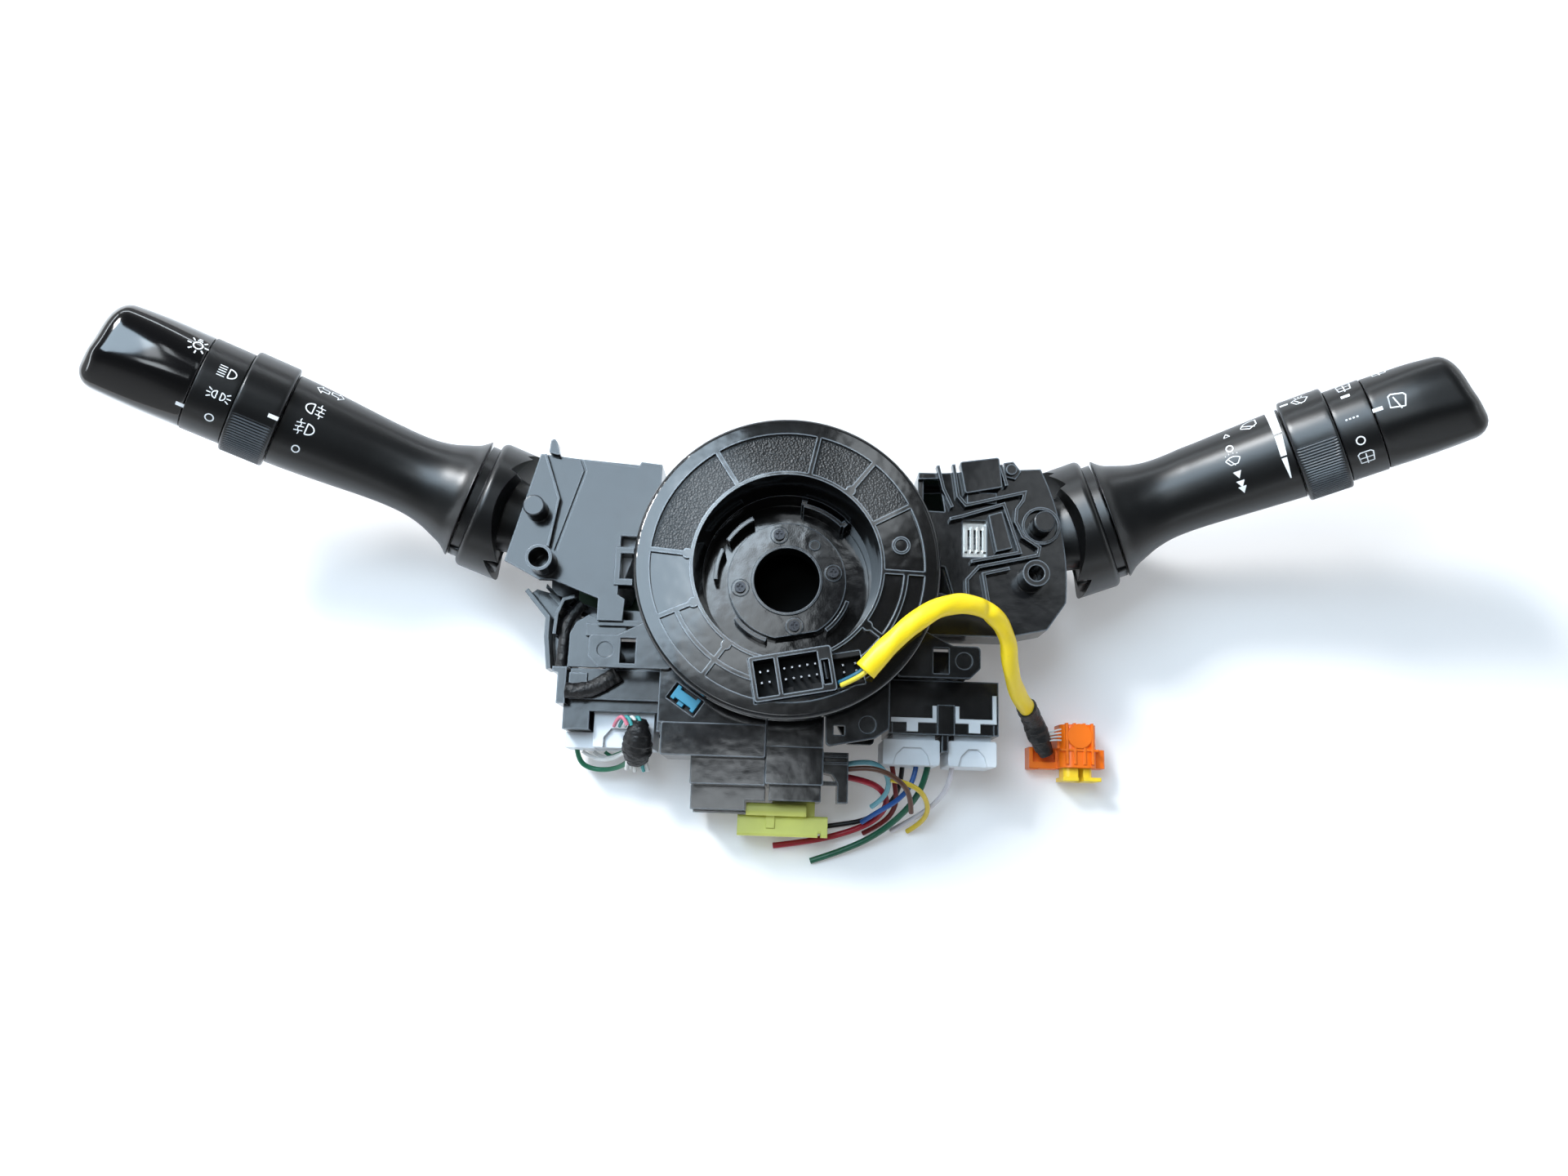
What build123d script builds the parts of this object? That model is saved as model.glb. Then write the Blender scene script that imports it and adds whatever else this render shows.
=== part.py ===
from build123d import *
import math
import os

# A steering column stalk switch lying on its back. The origin is on the column's axis
# at the back of the unit, +Z points at the driver and +Y is up in the car. Millimetres.

# Spiral cable rotor
rotor_r = 50.0
rotor_face_z = 66.0
rotor_thick = 3.6
rim_wall = 1.0
rim_drop = 3.0
rim_round = 1.3
well_r = 30.6
well_foot_r = 28.6
sleeve_wall = 1.4
rim_wide = 5.4
lip_wide = 1.2
pocket_outer_r = rotor_r - rim_wide
pocket_inner_r = well_r + lip_wide
pocket_depth = 1.2
rib_wide = 1.6
mid_rib_r = (pocket_outer_r + pocket_inner_r) / 2 + 0.5
nub_r = 1.7
rotor_turn = 10.9
rib_angles = [175, 123, 78, 52, 28, -2, -36, 204, 235]
nub_angles = [175, 52, -36, 204, 235]
split_sectors = [(-62, -2), (204, 259)]

# Well floor of the rotor
hub_seat_z = 48.0
hub_floor_z = 42.0
hub_floor_r = 20.4
hub_bore_r = 11.3
hub_wall = 2.0
moat_depth = 6.0
chord_v = 19.1
screw_circle_r = 16.2
hub_screw_head_r = 1.9
hub_screw_r = 1.15

# Fixed spiral case, which the rotor's rim covers
rim_gap = 0.6
case_r = rotor_r - rim_wall - rim_gap
case_wall = 1.8
case_eye_r = 31.0
case_base = 2.0
ear_thick = 2.5
ear_x = 65.2
ear_screw_x = 59.7
ear_screw_y = -27.3
low_ear_screw = (28.0, -49.4)
ribbon_thick = 0.5
ribbon_turns = 5

# Socket block on the rotor, in the rotor's own turned axes. Its corner clears the case's wall
socket_left = -17.2
socket_right = 9.3
socket_top = -28.3
socket_clear = 0.38
socket_low = -math.sqrt((case_r - case_wall - socket_clear) ** 2 - socket_left ** 2)
socket_face_z = 68.0
socket_deep = 10.5
socket_wall = 1.4
cavity_deep = 8.9
small_cavity_wide = 6.6
lead_bay_wide = 9.0
pin_side = 0.64
pin_long = 5.0
pin_pitch = 2.5

# Switch cases left and right
cover_top_z = 48.0
cover_thick = 2.0
shell_wall = 2.0
seat_gap = 0.3
pin_r = 3.65
cover_pin_tall = 8.0
boss_r = 4.5
boss_tall = 10.0
left_boss_bore_r = 3.4
right_boss_bore_r = 2.65
boss_at = (82.5, 1.8)
cover_pin_at = (86.0, 20.2)
board_thick = 1.6
shelf_z = 33.0
contact_z = 44.1
lug_thick = 3.0
channel_floor_z = 19.0
channel_rim_z = 28.0
channel_wall_z = 37.0
channel_end_y = -31.2
cradle_room_r = 18.2

# Levers: a pivot in each case, an angle above level and a rise towards the driver
pivot_x = 64.2
pivot_y = 10.5
pivot_z = 24.0
lever_angle = 18.3
lever_rise = 17.0
bend_start = 66.0
bend_long = 49.0
bend_rise = 9.0
bend_turn = 1.3
pivot_pin_r = 4.0
cross_pin_r = 2.5
running_gap = 0.05
piece_gap = 0.3
fit_gap = 0.1
cradle_long = 11.5
cradle_half_wide = 13.0
cradle_top = 17.0
cradle_low = 14.0
bush_r = 7.0
tongue_half_wide = 6.9
tongue_half_tall = 5.5
neck_start = 17.5
neck_half_tall = 8.4
mouth_r = 35.8
corner_r = 38.3
barrel_start = 32.5
barrel_end = 52.2
barrel_half_wide = 23.1
collar_half_wide = 20.2
barrel_round = 2.4
oval = 0.89
arm_start = 52.9
peg_r = 9.0
peg_long = 12.0
spigot_r = 12.0
axle_r = 5.0
axle_in_knob = 16.0
ridge_deep = 0.5
ridge_step = 6.0

left_lever = {
    "arm_end": 118.8, "arm_half": 15.4, "waist": 13.4,
    "ring_long": 14.0, "ring_half": 17.2,
    "sleeve_long": 12.6, "sleeve_half": 15.6,
    "knob_long": 32.6, "knob_half": 15.4, "swing": (-8.5, 8.5), "dip": (-5.0, 5.0),
}
right_lever = {
    "arm_end": 115.7, "arm_half": 14.5, "waist": 13.2,
    "ring_long": 13.8, "ring_half": 16.3,
    "sleeve_long": 11.2, "sleeve_half": 14.6,
    "knob_long": 31.6, "knob_half": 14.3, "swing": (-18.0, 6.0), "dip": (0.0, 5.0),
}

# Column bracket
column_r = 24.0
collar_wall = 5.0
collar_tall = 22.0
flange_z = 22.0
flange_thick = 4.0
post_r = 3.5
clamp_wide = 9.0
clamp_thick = 1.0

# Sockets below
sensor_r = 41.0
sensor_eye_r = 31.6
housing_front_z = 47.7
left_socket_z = 30.0
right_socket_z = 32.0
plug_gap = 0.3


def block(x0, x1, y0, y1, z0, z1):
    size = Box(x1 - x0, y1 - y0, z1 - z0)
    return Pos((x0 + x1) / 2, (y0 + y1) / 2, (z0 + z1) / 2) * size


def rod(r, z0, z1, at=(0, 0)):
    return Pos(at[0], at[1], z0) * extrude(Circle(r), z1 - z0)


def tube(r_out, r_in, z0, z1, at=(0, 0)):
    return Pos(at[0], at[1], z0) * extrude(Circle(r_out) - Circle(r_in), z1 - z0)


def upright(points, z0, z1, corner=0.0):
    outline = make_face(Polyline(*points, close=True))
    if corner:
        outline = fillet(outline.vertices(), corner)
    return Pos(0, 0, z0) * extrude(outline, z1 - z0, dir=(0, 0, 1))


def turned(points):
    return revolve(Plane.XZ * make_face(Polyline(*points, close=True)), Axis.Z)


def wedge(a0, a1, r, z0, z1):
    steps = max(2, math.ceil((a1 - a0) / 40))
    fan = [a0 + (a1 - a0) * k / steps for k in range(steps + 1)]
    rim = [(r * math.cos(math.radians(a)), r * math.sin(math.radians(a))) for a in fan]
    return upright([(0, 0)] + rim, z0, z1)


def arc_wall(r, wide, a0, a1, z0, z1):
    return tube(r + wide / 2, r - wide / 2, z0, z1) & wedge(a0, a1, 2 * r, z0, z1)


def around(r, angle):
    return (r * math.cos(math.radians(angle)), r * math.sin(math.radians(angle)))


def soften(solid, axis, r):
    return fillet(solid.edges().filter_by(axis), r)


def other_side(solid):
    return mirror(solid, Plane.YZ)


def rotor_pockets():
    low, high = rotor_face_z - pocket_depth, rotor_face_z + 1
    pockets = tube(pocket_outer_r, pocket_inner_r, low, high)
    middle = (pocket_outer_r + pocket_inner_r) / 2
    for angle in rib_angles:
        rib = Pos(middle, 0, rotor_face_z) * Box(2 * pocket_inner_r, rib_wide, 4)
        rib &= block(pocket_inner_r - 2, pocket_outer_r + 2, -9, 9, low - 2, high + 2)
        pockets -= Rot(0, 0, angle) * rib
    for angle in nub_angles:
        pockets -= rod(nub_r, low - 1, high + 1, around(pocket_inner_r + nub_r / 2, angle))
    for a0, a1 in split_sectors:
        pockets -= arc_wall(mid_rib_r, rib_wide, a0, a1, low - 1, high + 1)
    gate_at = around(middle - 0.4, 12)
    pockets -= rod(3.0, low - 1, rotor_face_z - 0.5, gate_at) - rod(2.0, low - 1, high, gate_at)
    return pockets


def socket_outline(grow, z0, z1):
    body = block(socket_left - grow, socket_right + grow, socket_low - grow, socket_top + grow, z0, z1)
    bay = block(socket_right - 1, socket_right + lead_bay_wide + grow,
                socket_low + 1 - grow, socket_top - 3 + grow, z0, z1)
    return Rot(0, 0, rotor_turn) * (body + bay)


def rotor_disc():
    top = rotor_face_z
    low = top - rotor_thick
    disc = turned([
        (well_r, top), (rotor_r, top), (rotor_r, low - rim_drop), (rotor_r - rim_wall, low - rim_drop),
        (rotor_r - rim_wall, low), (well_r + sleeve_wall, low),
        (well_foot_r + sleeve_wall, hub_seat_z), (well_foot_r, hub_seat_z),
    ])
    rim = [e for e in disc.edges().filter_by(GeomType.CIRCLE)
           if abs(e.radius - rotor_r) < 0.01 and e.center().Z > low]
    disc = fillet(rim, rim_round)
    disc -= rotor_pockets()
    disc -= socket_outline(fit_gap, hub_seat_z - 1, top + 5)
    return disc


def hub_clips():
    floor = hub_floor_z - moat_depth
    clips = arc_wall(22.0, 1.4, 219, 253, floor, hub_floor_z + 1.5)
    clips += arc_wall(22.0, 1.4, 309, 342, floor, hub_floor_z + 1.5)
    clips += arc_wall(24.4, 1.4, 120, 148, floor, hub_floor_z + 2.5)
    clips += arc_wall(24.4, 1.4, 156, 182, floor, hub_floor_z + 2.5)
    clips += arc_wall(26.6, 1.4, 46, 79, floor, hub_floor_z + 3.5)
    clips += arc_wall(27.5, 1.8, 44, 48, floor, hub_floor_z + 3.5)
    clips += arc_wall(27.5, 1.8, 77, 81, floor, hub_floor_z + 3.5)
    return clips


def hub_screw_places():
    return [around(screw_circle_r, rotor_turn + 90 * k) for k in range(4)]


def rotor_hub():
    moat = hub_floor_z - moat_depth
    low = moat - hub_wall
    hub = turned([
        (hub_bore_r, low), (hub_bore_r, hub_floor_z + 0.8), (hub_bore_r + 0.9, hub_floor_z + 0.8),
        (hub_bore_r + 0.9, hub_floor_z), (hub_floor_r, hub_floor_z), (hub_floor_r, moat),
        (well_foot_r, moat), (well_foot_r, hub_seat_z), (well_foot_r + sleeve_wall, hub_seat_z),
        (well_foot_r + sleeve_wall, low),
    ])
    hub -= tube(hub_floor_r - hub_wall, hub_bore_r + hub_wall, low - 1, hub_floor_z - hub_wall)
    chord = block(-hub_floor_r, hub_floor_r, -well_foot_r, -chord_v, moat, hub_floor_z + 5)
    hub -= (Rot(0, 0, rotor_turn) * chord) & rod(well_foot_r, moat, hub_floor_z + 5)
    hub += hub_clips()
    hub += rod(1.9, hub_floor_z - 1, hub_floor_z + 0.5, around(15.7, rotor_turn + 43))
    for place in hub_screw_places():
        hub += rod(3.0, hub_floor_z - 2, hub_floor_z + 0.4, place)
        hub -= rod(hub_screw_r + fit_gap, low - 1, hub_floor_z + 2, place)
    return hub


def hub_screws():
    screws = []
    for place in hub_screw_places():
        seat = hub_floor_z + 0.4
        screw = rod(hub_screw_head_r, seat, seat + 1.2, place)
        screw += rod(hub_screw_r, seat - 5, seat, place)
        slot = Pos(place[0], place[1], seat + 1.2) * Box(0.6, 2.2, 1.2)
        screw -= slot + Pos(place[0], place[1], seat + 1.2) * Box(2.2, 0.6, 1.2)
        screws.append(screw)
    return screws


def socket_floor_z():
    return socket_face_z - cavity_deep


def rotor_connector():
    low = socket_face_z - socket_deep
    floor = socket_floor_z()
    body = soften(block(socket_left, socket_right, socket_low, socket_top, low, socket_face_z), Axis.Z, 1.0)
    bay_top = socket_top - 3
    bay_low = socket_low + 1
    bay = block(socket_right - 1, socket_right + lead_bay_wide, bay_low, bay_top, low, socket_face_z - 3)
    bay -= block(socket_right, socket_right + lead_bay_wide + 1, bay_low + socket_wall,
                 bay_top - socket_wall, floor, socket_face_z)
    wall_x = socket_left + socket_wall + small_cavity_wide
    y0, y1 = socket_low + socket_wall, socket_top - socket_wall
    body -= block(socket_left + socket_wall, wall_x, y0, y1, floor, socket_face_z + 1)
    latch_x = socket_right - socket_wall - 3.2
    body -= block(wall_x + socket_wall, latch_x, y0, y1, floor, socket_face_z + 1)
    body -= block(latch_x + 0.8, socket_right - socket_wall, y0 + 1, y1 - 3, floor + 3, socket_face_z + 1)
    latch = Pos(latch_x + 2, (y0 + y1) / 2, floor + 5) * Cylinder(1.0, 6.0, rotation=(90, 0, 0))
    key = block(wall_x + socket_wall, latch_x, y0, y0 + 2.2, floor, floor + 5)
    key -= block(wall_x + 5, wall_x + 11, y0 + 0.8, y0 + 3, floor, floor + 6)
    return Rot(0, 0, rotor_turn) * (body + bay + latch + key)


def pin_rows(low, top):
    inside = top - low - 2 * socket_wall
    return [(low + top) / 2 + 0.22 * inside, (low + top) / 2 - 0.08 * inside]


def rotor_pins():
    floor = socket_floor_z()
    pins = []
    row_y = pin_rows(socket_low, socket_top)
    bay_y = pin_rows(socket_low + 1, socket_top - 3)
    big_x = socket_left + 2 * socket_wall + small_cavity_wide + 1.6
    small_x = socket_left + socket_wall + 1.8
    spots = [(big_x + pin_pitch * k, y) for k in range(5) for y in row_y]
    spots += [(small_x + pin_pitch * k, y) for k in range(2) for y in row_y]
    spots += [(socket_right + x, y) for x in (3.2, 7.2) for y in bay_y]
    for x, y in spots:
        pin = Pos(x, y, floor + pin_long / 2) * Box(pin_side, pin_side, pin_long)
        pins.append(Rot(0, 0, rotor_turn) * pin)
    return pins


def spiral_low_z():
    return cover_top_z + seat_gap


def ear(points, window, screw):
    low = spiral_low_z()
    plate = upright(points, low, low + ear_thick, 1.5)
    plate -= block(window[0], window[1], window[2], window[3], low - 1, low + ear_thick + 1)
    return plate - rod(2.7, low + ear_thick - 0.4, low + ear_thick + 1, screw)


def spiral_case():
    low = spiral_low_z()
    rotor_low = rotor_face_z - rotor_thick
    case = tube(case_r, case_eye_r, low, low + case_base)
    case += tube(case_r, case_r - case_wall, low, rotor_low - piece_gap * 2)
    side = [around(case_r + 2.1, -41.1), (ear_x - 3.5, -33.2), (ear_x, -29.7), (ear_x, -22.3),
            (56.0, -22.3), around(case_r + 1.3, -20.6), around(case_r - 6.8, -35.2)]
    window = (49.5, 54.6, -31.7, -23.2)
    right = ear(side, window, (ear_screw_x, ear_screw_y))
    left = ear([(-x, y) for x, y in side], (-window[1], -window[0], window[2], window[3]),
               (-ear_screw_x, ear_screw_y))
    low_side = [around(case_r - 4.1, -71.6), (14.4, -57.0), (30.5, -53.8), (35.2, -50.5),
                around(case_r + 0.5, -44.0), around(case_r - 4.3, -50.5)]
    lowest = ear(low_side, (17.0, 20.5, -53.0, -50.0), low_ear_screw)
    bore = rod(case_r - case_wall, low + case_base, low + 30)
    return case + ((right + left + lowest) - bore - rod(case_eye_r, low - 1, low + 30))


def ribbon_cable():
    low = spiral_low_z() + case_base + 1.0
    high = socket_face_z - socket_deep - 0.6
    inner = well_r + sleeve_wall + 1.6
    step = (case_r - case_wall - 1.5 - inner) / ribbon_turns
    path, r, side = [], inner, 1
    for _ in range(2 * ribbon_turns):
        next_r = r + step / 2
        middle = side * (r - next_r) / 2
        path.append((side * r, middle, (r + next_r) / 2, -side * next_r))
        r, side = next_r, -side
    arcs = []
    for k, (start, middle, radius, end) in enumerate(path):
        top = radius if k % 2 == 0 else -radius
        arcs.append(ThreePointArc((start, 0), (middle, top), (end, 0)))
    strip = make_face(offset(Wire(arcs), ribbon_thick / 2, side=Side.BOTH).edges())
    return Pos(0, 0, low) * extrude(strip, high - low, dir=(0, 0, 1))


def shell_outline():
    top = Polyline((44.3, -18.4), (44.3, 38.4), (52.0, 38.4), (86.5, 41.0))
    mouth = ThreePointArc((86.5, 41.0), (93.2, 20.0), (94.5, -6.0))
    low = Polyline((94.5, -6.0), (88.0, -15.5), (75.0, -18.4), (44.3, -18.4))
    return make_face(Curve() + [top, mouth, low])


def lower_outline():
    return make_face(Polyline((44.3, -13.0), (44.3, 36.5), (83.0, 38.5), (90.0, 20.0), (88.5, 0.0),
                              (80.0, -9.5), (70.0, -13.0), close=True))


def mouth_sweep(lever, z0, z1):
    low, high = lever["swing"]
    cuts = None
    for k in range(6):
        angle = low - 1.5 + (high - low + 3) * k / 5
        one = Rot(0, 0, angle) * block(neck_start, 60, -19.5, 19.5, z0, z1)
        cuts = one if cuts is None else cuts + one
    return Pos(pivot_x, pivot_y, 0) * Rot(0, 0, lever_angle) * cuts


def switch_shell(lever):
    top = cover_top_z - cover_thick
    outline, low_outline = shell_outline(), lower_outline()
    shell = Pos(0, 0, shelf_z) * extrude(outline, top - shelf_z, dir=(0, 0, 1))
    shell += extrude(low_outline, top - 1, dir=(0, 0, 1))
    shell -= Pos(0, 0, shelf_z + shell_wall) * extrude(offset(outline, -shell_wall), top, dir=(0, 0, 1))
    shell -= Pos(0, 0, shell_wall) * extrude(offset(low_outline, -shell_wall), top, dir=(0, 0, 1))
    shell -= mouth_sweep(lever, shell_wall, top + 1)
    pivot = (pivot_x, pivot_y)
    cam = block(44.3, 51.0, pivot_y - 15, pivot_y + 9, pivot_z - 6, pivot_z + 6)
    shell += cam - rod(cradle_long + 5.6, 0, top + 9, pivot)
    shell += rod(bush_r, 0, pivot_z - cradle_low - piece_gap, pivot)
    shell -= rod(pivot_pin_r + running_gap, shell_wall, top, pivot)
    return shell + case_lugs() - case_lug_bores()


def left_case():
    shell = other_side(switch_shell(left_lever))
    uncovered = [(-98.0, 2.2), (-84.0, -3.9), (-79.0, -3.9), (-63.2, -9.9), (-63.2, -20.0), (-98.0, -20.0)]
    shell -= upright(uncovered, channel_rim_z, 60)
    rim = [(-92.3, -3.3), (-84.1, -12.8), (-84.1, -20.1), (-82.6, channel_end_y)]
    inside = [(-74.2, channel_end_y), (-74.2, -12.0), (-66.0, -12.0), (-66.0, -8.6), (-79.0, -4.5),
              (-90.0, -1.6)]
    floor = upright(rim + inside, channel_floor_z, channel_floor_z + shell_wall)
    floor -= rod(cradle_room_r, 0, 60, (-pivot_x, pivot_y))
    channel = floor + raised_line(rim, 1.6, channel_floor_z, channel_rim_z)
    channel += raised_line([(-73.4, -6.9), (-77.2, -8.0), (-79.2, -13.0), (-79.7, -20.3)], 1.2,
                           channel_floor_z, channel_wall_z)
    channel += block(-74.6, -73.6, channel_end_y, -19.6, channel_floor_z, shelf_z + 1)
    shelf = upright([(-74.6, -19.6), (-72.6, -15.6), (-68.4, -12.8), (-62.6, -15.0), (-62.6, -18.4), (-64.2, -18.4),
                     (-64.2, channel_end_y), (-74.6, channel_end_y)], shelf_z, shelf_z + shell_wall)
    ledge = block(-67.5, -54.0, -21.7, -17.4, 40, 44)
    return shell + channel + shelf + ledge


def case_lugs():
    low = flange_z + flange_thick
    lugs = block(36.0, 45.0, 25.0, 34.5, low, low + lug_thick)
    return lugs + block(36.5, 46.3, -27.0, -12.5, low, low + lug_thick) - rod(sensor_r + 0.5, 0, 60)


def case_lug_bores():
    low = flange_z + flange_thick
    return sum_of([rod(1.4, low - 1, low + lug_thick + 1, place) for place in case_screw_places()])


def sum_of(solids):
    total = solids[0]
    for solid in solids[1:]:
        total += solid
    return total


def case_screw_places():
    return [(40.0, 29.8), (40.6, -23.6)]


def cover_fixings(plate, bore_r):
    under = cover_top_z - cover_thick
    plate += tube(boss_r, bore_r, cover_top_z, cover_top_z + boss_tall, boss_at)
    plate -= rod(bore_r, cover_top_z - 0.5, cover_top_z + boss_tall + 1, boss_at)
    post = rod(pin_r, cover_top_z, cover_top_z + cover_pin_tall, cover_pin_at)
    top = [e for e in post.edges().filter_by(GeomType.CIRCLE) if e.center().Z > cover_top_z + 1]
    plate += fillet(top, 0.5)
    bush = tube(bush_r, pivot_pin_r + running_gap, pivot_z + cradle_top + piece_gap, under,
                (pivot_x, pivot_y))
    return plate + bush


def raised_line(points, wide, z0, z1):
    path = Polyline(*points)
    strip = trace(path, wide)
    return Pos(0, 0, z0) * extrude(strip, z1 - z0, dir=(0, 0, 1))


def left_cover():
    under = cover_top_z - cover_thick
    outline = [(86.5, 40.8), (52.5, 37.2), (51.5, 39.0), (44.3, 38.2), (44.3, 12.4), (57.0, 12.4),
               (57.0, -8.0), (54.5, -9.5), (55.0, -17.0), (63.5, -17.0), (63.5, -9.5), (79.0, -3.6),
               (84.0, -3.6), (96.2, 2.6)]
    plate = upright(outline, under, cover_top_z)
    plate -= raised_line([(73.6, 42.0), (70.8, 35.2), (79.2, 6.5)], 0.8, cover_top_z - 0.8, cover_top_z + 1)
    plate = cover_fixings(plate, left_boss_bore_r)
    rail = [(84.4, 40.0), (78.8, 24.4), (81.3, 7.5)]
    plate += raised_line(rail, 0.9, cover_top_z - 0.1, cover_top_z + 2.6)
    hook = [(79.4, 39.6), (80.6, 44.4), (81.6, 45.6), (82.8, 45.0), (83.2, 40.6)]
    plate += upright(hook, under, cover_top_z + 2.6, 0.5)
    clip = block(52.2, 58.5, -4.8, 8.4, under - 4, cover_top_z + 0.8)
    clip -= block(51.0, 56.6, -2.6, 6.2, under - 5, cover_top_z + 2)
    plate += clip
    return other_side(plate)


def right_cover():
    under = cover_top_z - cover_thick
    top = cover_top_z
    plate = Pos(0, 0, under) * extrude(shell_outline(), cover_thick, dir=(0, 0, 1))
    plate -= block(59.6, 67.6, 9.0, 21.8, under - 1, top + 1)
    plate -= upright([(44.0, 25.0), (44.0, 36.0), (51.5, 36.4), (53.4, 24.6)], under - 1, top + 1)
    plate -= upright([(44.0, -2.0), (44.0, 7.0), (53.5, 5.2), (56.5, -5.0)], under - 1, top + 1)
    plate = cover_fixings(plate, right_boss_bore_r)
    plate -= block(58.7, 68.5, 8.1, 22.7, contact_z - fit_gap, under + 0.1)
    plate -= block(59.6, 67.6, 9.0, 21.8, contact_z - fit_gap, top + 1)
    plate += right_ribs(top)
    raised = upright([(58.0, 41.5), (71.5, 43.6), (72.6, 33.0), (60.0, 30.4)], top, top + 3.5, 0.8)
    plate += raised + block(60.8, 71.0, 27.6, 31.4, top, top + 1.5)
    plate += upright([(73.5, 42.4), (76.8, 43.0), (79.5, 39.4), (77.5, 36.6), (73.8, 37.5)], top, top + 1.2)
    plate += rod(1.9, top, top + 2.4, (76.0, 39.8))
    slant = upright([(68.0, 23.2), (72.6, 24.6), (76.0, 11.9), (70.6, 10.4)], top, top + 2.6)
    return plate + slant


def right_ribs(top):
    tall = top + 3.0
    lines = [
        [(54.8, 21.4), (58.6, 22.4), (73.2, 27.2), (78.6, 10.4), (62.0, 6.8)],
        [(56.0, 40.8), (57.6, 29.6), (60.2, 26.4), (80.4, 31.6), (79.8, 28.8), (77.6, 25.6), (77.2, 21.2),
         (79.6, 16.0), (85.2, 12.4), (84.6, 9.6), (64.6, 5.0), (60.6, 0.4), (61.0, -9.0)],
        [(50.6, 40.2), (52.6, 32.0), (55.6, 25.6)],
        [(68.6, -12.0), (66.2, 2.6), (75.0, 4.8)],
        [(72.2, 41.2), (74.2, 33.8)],
    ]
    ribs = None
    for points in lines:
        rib = raised_line(points, 1.1, top - 0.1, tall)
        ribs = rib if ribs is None else ribs + rib
    return ribs + tube(6.6, 5.6, top - 0.1, top + 2.0, cover_pin_at) & block(40, 96, -19, 42, top - 1, tall)


def right_contacts():
    under = cover_top_z - cover_thick
    carrier = block(58.8, 68.4, 8.2, 22.6, contact_z, under - fit_gap)
    blades = [block(60.4 + 2.1 * k, 61.3 + 2.1 * k, 11.0, 20.0, under - 0.6, under + 1.4) for k in range(4)]
    slots = [block(61.5 + 2.1 * k, 62.3 + 2.1 * k, 12.0, 19.0, contact_z - 1, under) for k in range(3)]
    return carrier + sum_of(blades) - sum_of(slots)


def switch_board():
    outline = offset(lower_outline(), -shell_wall - 0.5)
    board = Pos(0, 0, shell_wall) * extrude(outline, board_thick, dir=(0, 0, 1))
    board -= rod(bush_r + 0.5, 0, 10, (pivot_x, pivot_y))
    return board & block(44, 78, -20, 40, 0, 10)


def case_screws():
    seat = flange_z + flange_thick + lug_thick
    screws = []
    for x, y in case_screw_places():
        for side in (-1, 1):
            screw = rod(2.6, seat, seat + 1.8, (side * x, y)) + rod(1.25, seat - 6.5, seat, (side * x, y))
            screws.append(screw - rod(1.2, seat + 0.8, seat + 2, (side * x, y)))
    return screws


def lever_frame(solid, side):
    placed = Pos(pivot_x, pivot_y, pivot_z) * Rot(0, 0, lever_angle) * solid
    return placed if side > 0 else other_side(placed)


def raised_lever(solid, side):
    return lever_frame(Rot(0, -lever_rise, 0) * solid, side)


def on_lever(d):
    bent = min(max(d - bend_start, 0), bend_long)
    steps = 1 + round(bent / 5)
    place = Pos(min(d, bend_start), 0, 0)
    for _ in range(steps):
        place *= Pos(bent / steps / 2, 0, 0)
        place *= Rot(0, -bend_rise * bent / bend_long / steps, -bend_turn * bent / bend_long / steps)
        place *= Pos(bent / steps / 2, 0, 0)
    return place * Pos(max(d - bend_start - bend_long, 0), 0, 0)


def section(d, half_wide, half_tall):
    return on_lever(d) * (Plane.YZ * Ellipse(half_wide, half_tall))


def along(shape, d0, d1):
    return on_lever(d0) * extrude(Plane.YZ * shape, d1 - d0)


def cradle(side):
    low, high = -cradle_low, cradle_top
    frame = block(-cradle_long, cradle_long, -cradle_half_wide, cradle_half_wide, low, high)
    frame = soften(frame, Axis.Z, 2.0)
    inner = tongue_half_wide + piece_gap
    frame -= block(-cradle_long + 3, cradle_long + 1, -inner, inner, low + 4, high - 4)
    frame += rod(pivot_pin_r, high, high + 2.8) + rod(pivot_pin_r, low - 7, low)
    frame -= Cylinder(cross_pin_r + running_gap, 60, rotation=(90, 0, 0))
    frame -= Pos(-cradle_long, 0, 0) * Cylinder(2.0 + fit_gap, 8, rotation=(0, 90, 0))
    return lever_frame(frame, side)


def detent(side):
    pin = Pos(-cradle_long - 0.5, 0, 0) * Cylinder(2.0, 5.4, rotation=(0, 90, 0))
    nose = Pos(-cradle_long - 3.2, 0, 0) * Sphere(2.0)
    return lever_frame(pin + nose, side)


def mouth_room(lever):
    corner = 35.5 - lever["swing"][1]
    pulled = (cover_top_z - pivot_z) * math.sin(math.radians(lever["dip"][1]))
    room = rod(mouth_r, -60, 60) + rod(corner_r + pulled, -60, cover_top_z - cover_thick - pivot_z)
    room += wedge(corner - 9.0, corner + 32.0, 2 * corner_r, -60, 60) & rod(corner_r, -60, 60)
    return Rot(0, lever_rise, 0) * (room & block(0, 90, -90, 90, -60, 60))


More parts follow.
